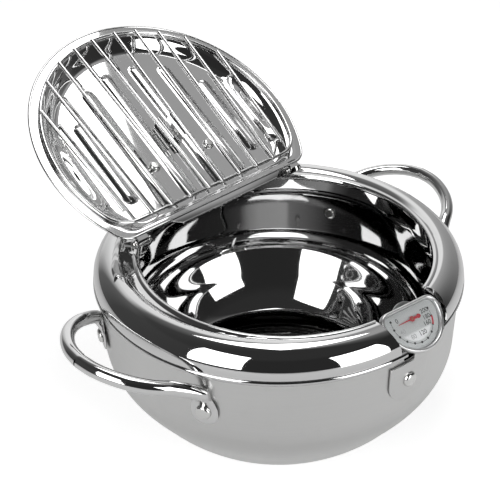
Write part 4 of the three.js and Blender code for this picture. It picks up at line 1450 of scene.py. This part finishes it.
    def build_stem(self) -> None:
        """Builds the probe's stem, a tube with a rounded tip."""
        top, radius, bore = self.drum_back - GAP, self.stem_radius, self.stem_bore
        bottom, floor = top - self.stem_length, top - self.stem_length + 3
        tip = arc((0, bottom + radius), radius, -90, 0, 10)
        profile = tip + straight(tip[-1], (radius, top), 12) + [(bore, top), (bore, floor), (0, floor)]
        stem = Form().revolve(profile, 32).piece("probe_stem_tube", self.place)
        self.dress(stem, [Palette.rod], "probe_stem")


@dataclass
class Bracket(Assembly):
    """The sheet bracket riveted to the pan's front, with the holder for the thermometer."""

    sheet: float = 1.2
    turn: float = -95.2
    width: float = 31.0
    foot: float = 67.0
    shoulder: float = 95.4
    rivet_height: float = 82.0
    tab_turn: float = -90.9
    tab_width: float = 12.5
    tab_top: float = 99.0
    tab_x: float = -2.1
    tab_reach: float = 17.6
    holder: float = 11.9
    bore: float = 9.9
    body: ClassVar[str] = "pan"

    def build(self, dial: Matrix) -> None:
        """Builds the bracket and its rivet.

        Args:
            dial: The dial frame's place.
        """
        half, tab_half = self.width / 2, self.tab_width / 2
        x_axis = Vector((1, 0, 0))
        outline = [(half, self.shoulder), (-half, self.shoulder)]
        outline += arc((0, self.foot + half), half, 180, 360, 32)
        plate = Form().plate(outline, 0, self.sheet, 0.3).sliced(x_axis, -half + 1, half - 1, 1.0)
        plate.wrapped(SEAT, self.turn)
        low, high = self.shoulder - 2, self.tab_top
        outline = [(-tab_half, low), (tab_half, low), (tab_half, high), (-tab_half, high)]
        tab = Form().plate(outline, 0, self.sheet, 0.2)
        plate.joined(tab.sliced(x_axis, -5, 5, 1.0).wrapped(SEAT, self.tab_turn))
        level = CASE_BACK - GAP - self.sheet
        neck = [(self.tab_x - tab_half, -self.tab_reach), (self.tab_x + tab_half, -self.tab_reach)]
        disc = neck + arc(ORIGIN, self.holder, -70, 225, 60)
        holder = Form().plate(disc, level, level + self.sheet, 0.2).placed(dial).piece("holder")
        carve(holder, Form().cylinder(self.bore, level - 3, level + 3, 64).placed(dial))
        bracket = plate.taken(holder).piece("thermometer_bracket_plate")
        self.dress(bracket, [Palette.satin], "thermometer_bracket", slot="satin_steel")
        place = outward(self.turn, WALL_INSIDE, self.rivet_height)
        self.rivet("bracket_rivet", Rivet(PAN_RIVET), SEAT + self.sheet - WALL_INSIDE, place)


# ---------------------------------------------------------------- studio


@dataclass(frozen=True)
class SoftBox:
    """A lit panel: its corners in metres and its brightness."""

    name: str
    strength: float
    corners: Sequence[Triple]


@dataclass
class Studio:
    """The pale floor, the dark room with its softboxes, and the camera."""

    eye: Triple = (-0.3396, -0.3393, 0.4230)
    right: Triple = (0.7237, -0.6898, -0.0205)
    up: Triple = (0.387, 0.381, 0.8397)
    lens: float = 62.19
    floor_size: float = 6.0
    floor_shade: float = 0.6
    floor_glow: float = 0.26
    floor_glow_seen: float = 0.42
    room_radius: float = 2.6
    wall_turnover: Flat = (42.0, 52.0)
    world_light: float = 0.6
    boxes: tuple[SoftBox, ...] = (
        SoftBox("front_box", 3.8, [(-0.34, -1.5, 0), (0.4, -1.5, 0), (0.45, -1.5, 1.34), (-0.38, -1.5, 1.34)]),
        SoftBox("side_box", 3.8, [(-1.2, -0.6, 0.2), (-1.2, 0.04, 0.2), (-1.2, 0.24, 1.8), (-1.2, -0.6, 1.8)]),
        SoftBox(
            "top_box", 4.2, [(-0.04, -0.06, 0.85), (0.385, -0.06, 0.85), (0.385, 0.36, 0.85), (-0.04, 0.36, 0.85)]
        ),
    )
    low_walls: tuple[Flat, ...] = (
        (-180, 0.05), (-150, 0.03), (-60, 0.03), (-30, 0.05), (0, 0.3), (28, 0.5), (34, 1.1), (70, 1.0),
        (84, 0.7), (96, 0.15), (120, 0.07), (180, 0.05),
    )
    high_walls: tuple[Flat, ...] = (
        (-180, 0.04), (-60, 0.04), (-35, 0.15), (-22, 0.46), (5, 0.46), (30, 0.36), (60, 0.2), (110, 0.06),
        (180, 0.04),
    )

    def camera(self) -> None:
        """Sets the camera at the photograph's angle."""
        made = bpy.data.cameras.new("camera")
        made.sensor_width = 36
        made.sensor_fit = "HORIZONTAL"
        made.lens = self.lens
        made.clip_end = 50
        x = Vector(self.right).normalized()
        y = (Vector(self.up) - x * x.dot(Vector(self.up))).normalized()
        z = x.cross(y)
        holder = bpy.data.objects.new("camera", made)
        holder.matrix_world = Matrix.Translation(self.eye) @ Matrix((x, y, z)).transposed().to_4x4()
        bpy.context.collection.objects.link(holder)
        bpy.context.scene.camera = holder

    def shown(self, shader: Shader) -> Term:
        """1 for what the camera sees, straight on or in metal and glass."""
        path = shader.node("ShaderNodeLightPath").outputs
        seen = Term(shader, path["Is Camera Ray"]) + path["Is Glossy Ray"]
        return shader.math("ADD", seen, path["Is Transmission Ray"], clamp=True)

    def staged(self, form: Form, name: str, material: bpy.types.Material) -> bpy.types.Object:
        """Turns a form drawn in millimetres into a studio piece with one material."""
        made = form.piece(name)
        made.data.materials.append(material)
        return made

    def floor(self) -> None:
        """Lays the pale floor, which glows for what the camera sees."""
        form = Form()
        bmesh.ops.create_grid(form.bm, x_segments=1, y_segments=1, size=self.floor_size / MM)
        shader = Surface("pale_floor")
        shade = colour([self.floor_shade] * 3)
        shader.paint({"Base Color": shade, "Roughness": 0.9, "Specular IOR Level": 0.1})
        surface = shader.tree.nodes["Principled BSDF"].outputs[0]
        straight_on = Term(shader, shader.node("ShaderNodeLightPath").outputs["Is Camera Ray"])
        strength = self.floor_glow + straight_on * self.floor_glow_seen
        glow = shader.node("ShaderNodeEmission", {}, {"Strength": strength})
        both = shader.node("ShaderNodeAddShader", {}, {0: surface, 1: glow.outputs[0]})
        mix = shader.node("ShaderNodeMixShader", {}, {0: self.shown(shader), 1: surface, 2: both.outputs[0]})
        shader.feed(shader.tree.nodes["Material Output"].inputs[0], mix.outputs[0])
        self.staged(form, "floor", shader.owner)

    def lit(self, name: str, strength: Callable[[Shader], Value]) -> bpy.types.Material:
        """A glowing material, whose strength its own shader works out."""
        shader = Shader(bpy.data.materials.new(name))
        shader.tree.nodes.clear()
        glow = shader.node("ShaderNodeEmission", {}, {"Strength": strength(shader)})
        shader.feed(shader.node("ShaderNodeOutputMaterial").inputs[0], glow.outputs[0])
        return shader.owner

    def wall_level(self, shader: Shader) -> Term:
        """Brightness of the dim walls, by azimuth, below and above the turnover."""
        x, y, z = shader.axes(shader.place())
        turn = shader.math("ARCTAN2", y, x) / math.tau + 0.5

        def ramp(walls: Sequence[Flat]) -> Term:
            stops = [(at / 360 + 0.5, level) for at, level in walls]
            return Term(shader, shader.node("ShaderNodeValToRGB", {"stops": stops}, {0: turn}).outputs[0])

        start, end = (math.sin(math.radians(rise)) for rise in self.wall_turnover)
        blend = shader.step(z / self.room_radius, start, end)
        return ramp(self.low_walls) * (1 - blend) + ramp(self.high_walls) * blend

    def room(self) -> None:
        """Puts up the dim walls, which the camera looks through, and the softboxes."""
        form = Form()
        bmesh.ops.create_uvsphere(form.bm, u_segments=64, v_segments=32, radius=self.room_radius / MM)
        bmesh.ops.bisect_plane(
            form.bm, geom=form.all, dist=1e-3, plane_co=(0, 0, 1), plane_no=(0, 0, -1), clear_outer=True
        )
        self.staged(form, "dim_walls", self.lit("dim_walls", self.wall_level)).visible_camera = False
        for box in self.boxes:
            form = Form()
            _, edges = form.line([Vector(corner) / MM for corner in box.corners], True)
            bmesh.ops.edgeloop_fill(form.bm, edges=edges)
            self.staged(form, box.name, self.lit(box.name, lambda _: box.strength)).visible_camera = False

    def world(self) -> None:
        """Makes all that lies past the room white."""
        shader = Shader(bpy.context.scene.world or bpy.data.worlds.new("studio"))
        bpy.context.scene.world = shader.owner
        shader.tree.nodes.clear()
        light, white = (
            shader.node("ShaderNodeBackground", {}, {"Color": (1, 1, 1, 1), "Strength": strength})
            for strength in (self.world_light, 1.0)
        )
        sockets = {0: self.shown(shader), 1: light.outputs[0], 2: white.outputs[0]}
        mix = shader.node("ShaderNodeMixShader", {}, sockets)
        shader.feed(shader.node("ShaderNodeOutputWorld").inputs[0], mix.outputs[0])

    def build(self) -> None:
        """Builds the whole studio."""
        self.camera()
        self.floor()
        self.room()
        self.world()
        bpy.context.scene.view_settings.view_transform = "Standard"


def dress_hidden_nodes() -> None:
    """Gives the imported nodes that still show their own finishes."""
    for name, finish in (("needle_spindle", Palette.works), ("bimetal_coil", Palette.strip)):
        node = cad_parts[name]
        node.data.materials.clear()
        node.data.materials.append(finished(finish))
        LOG.info("%s: %s", name, finish.name)


def main() -> None:
    """Builds the pot and the studio, in order."""
    logging.basicConfig(level=logging.INFO, format="%(message)s")
    Pan().build()
    LoopHandles().build()
    Collar().build_all()
    lid, thermometer = Lid(), Thermometer()
    lid.build_all()
    Rack().build(lid.place, lid.centre_y)
    thermometer.build_all()
    Bracket().build(thermometer.place)
    dress_hidden_nodes()
    Studio().build()


if __name__ == "__main__":
    main()
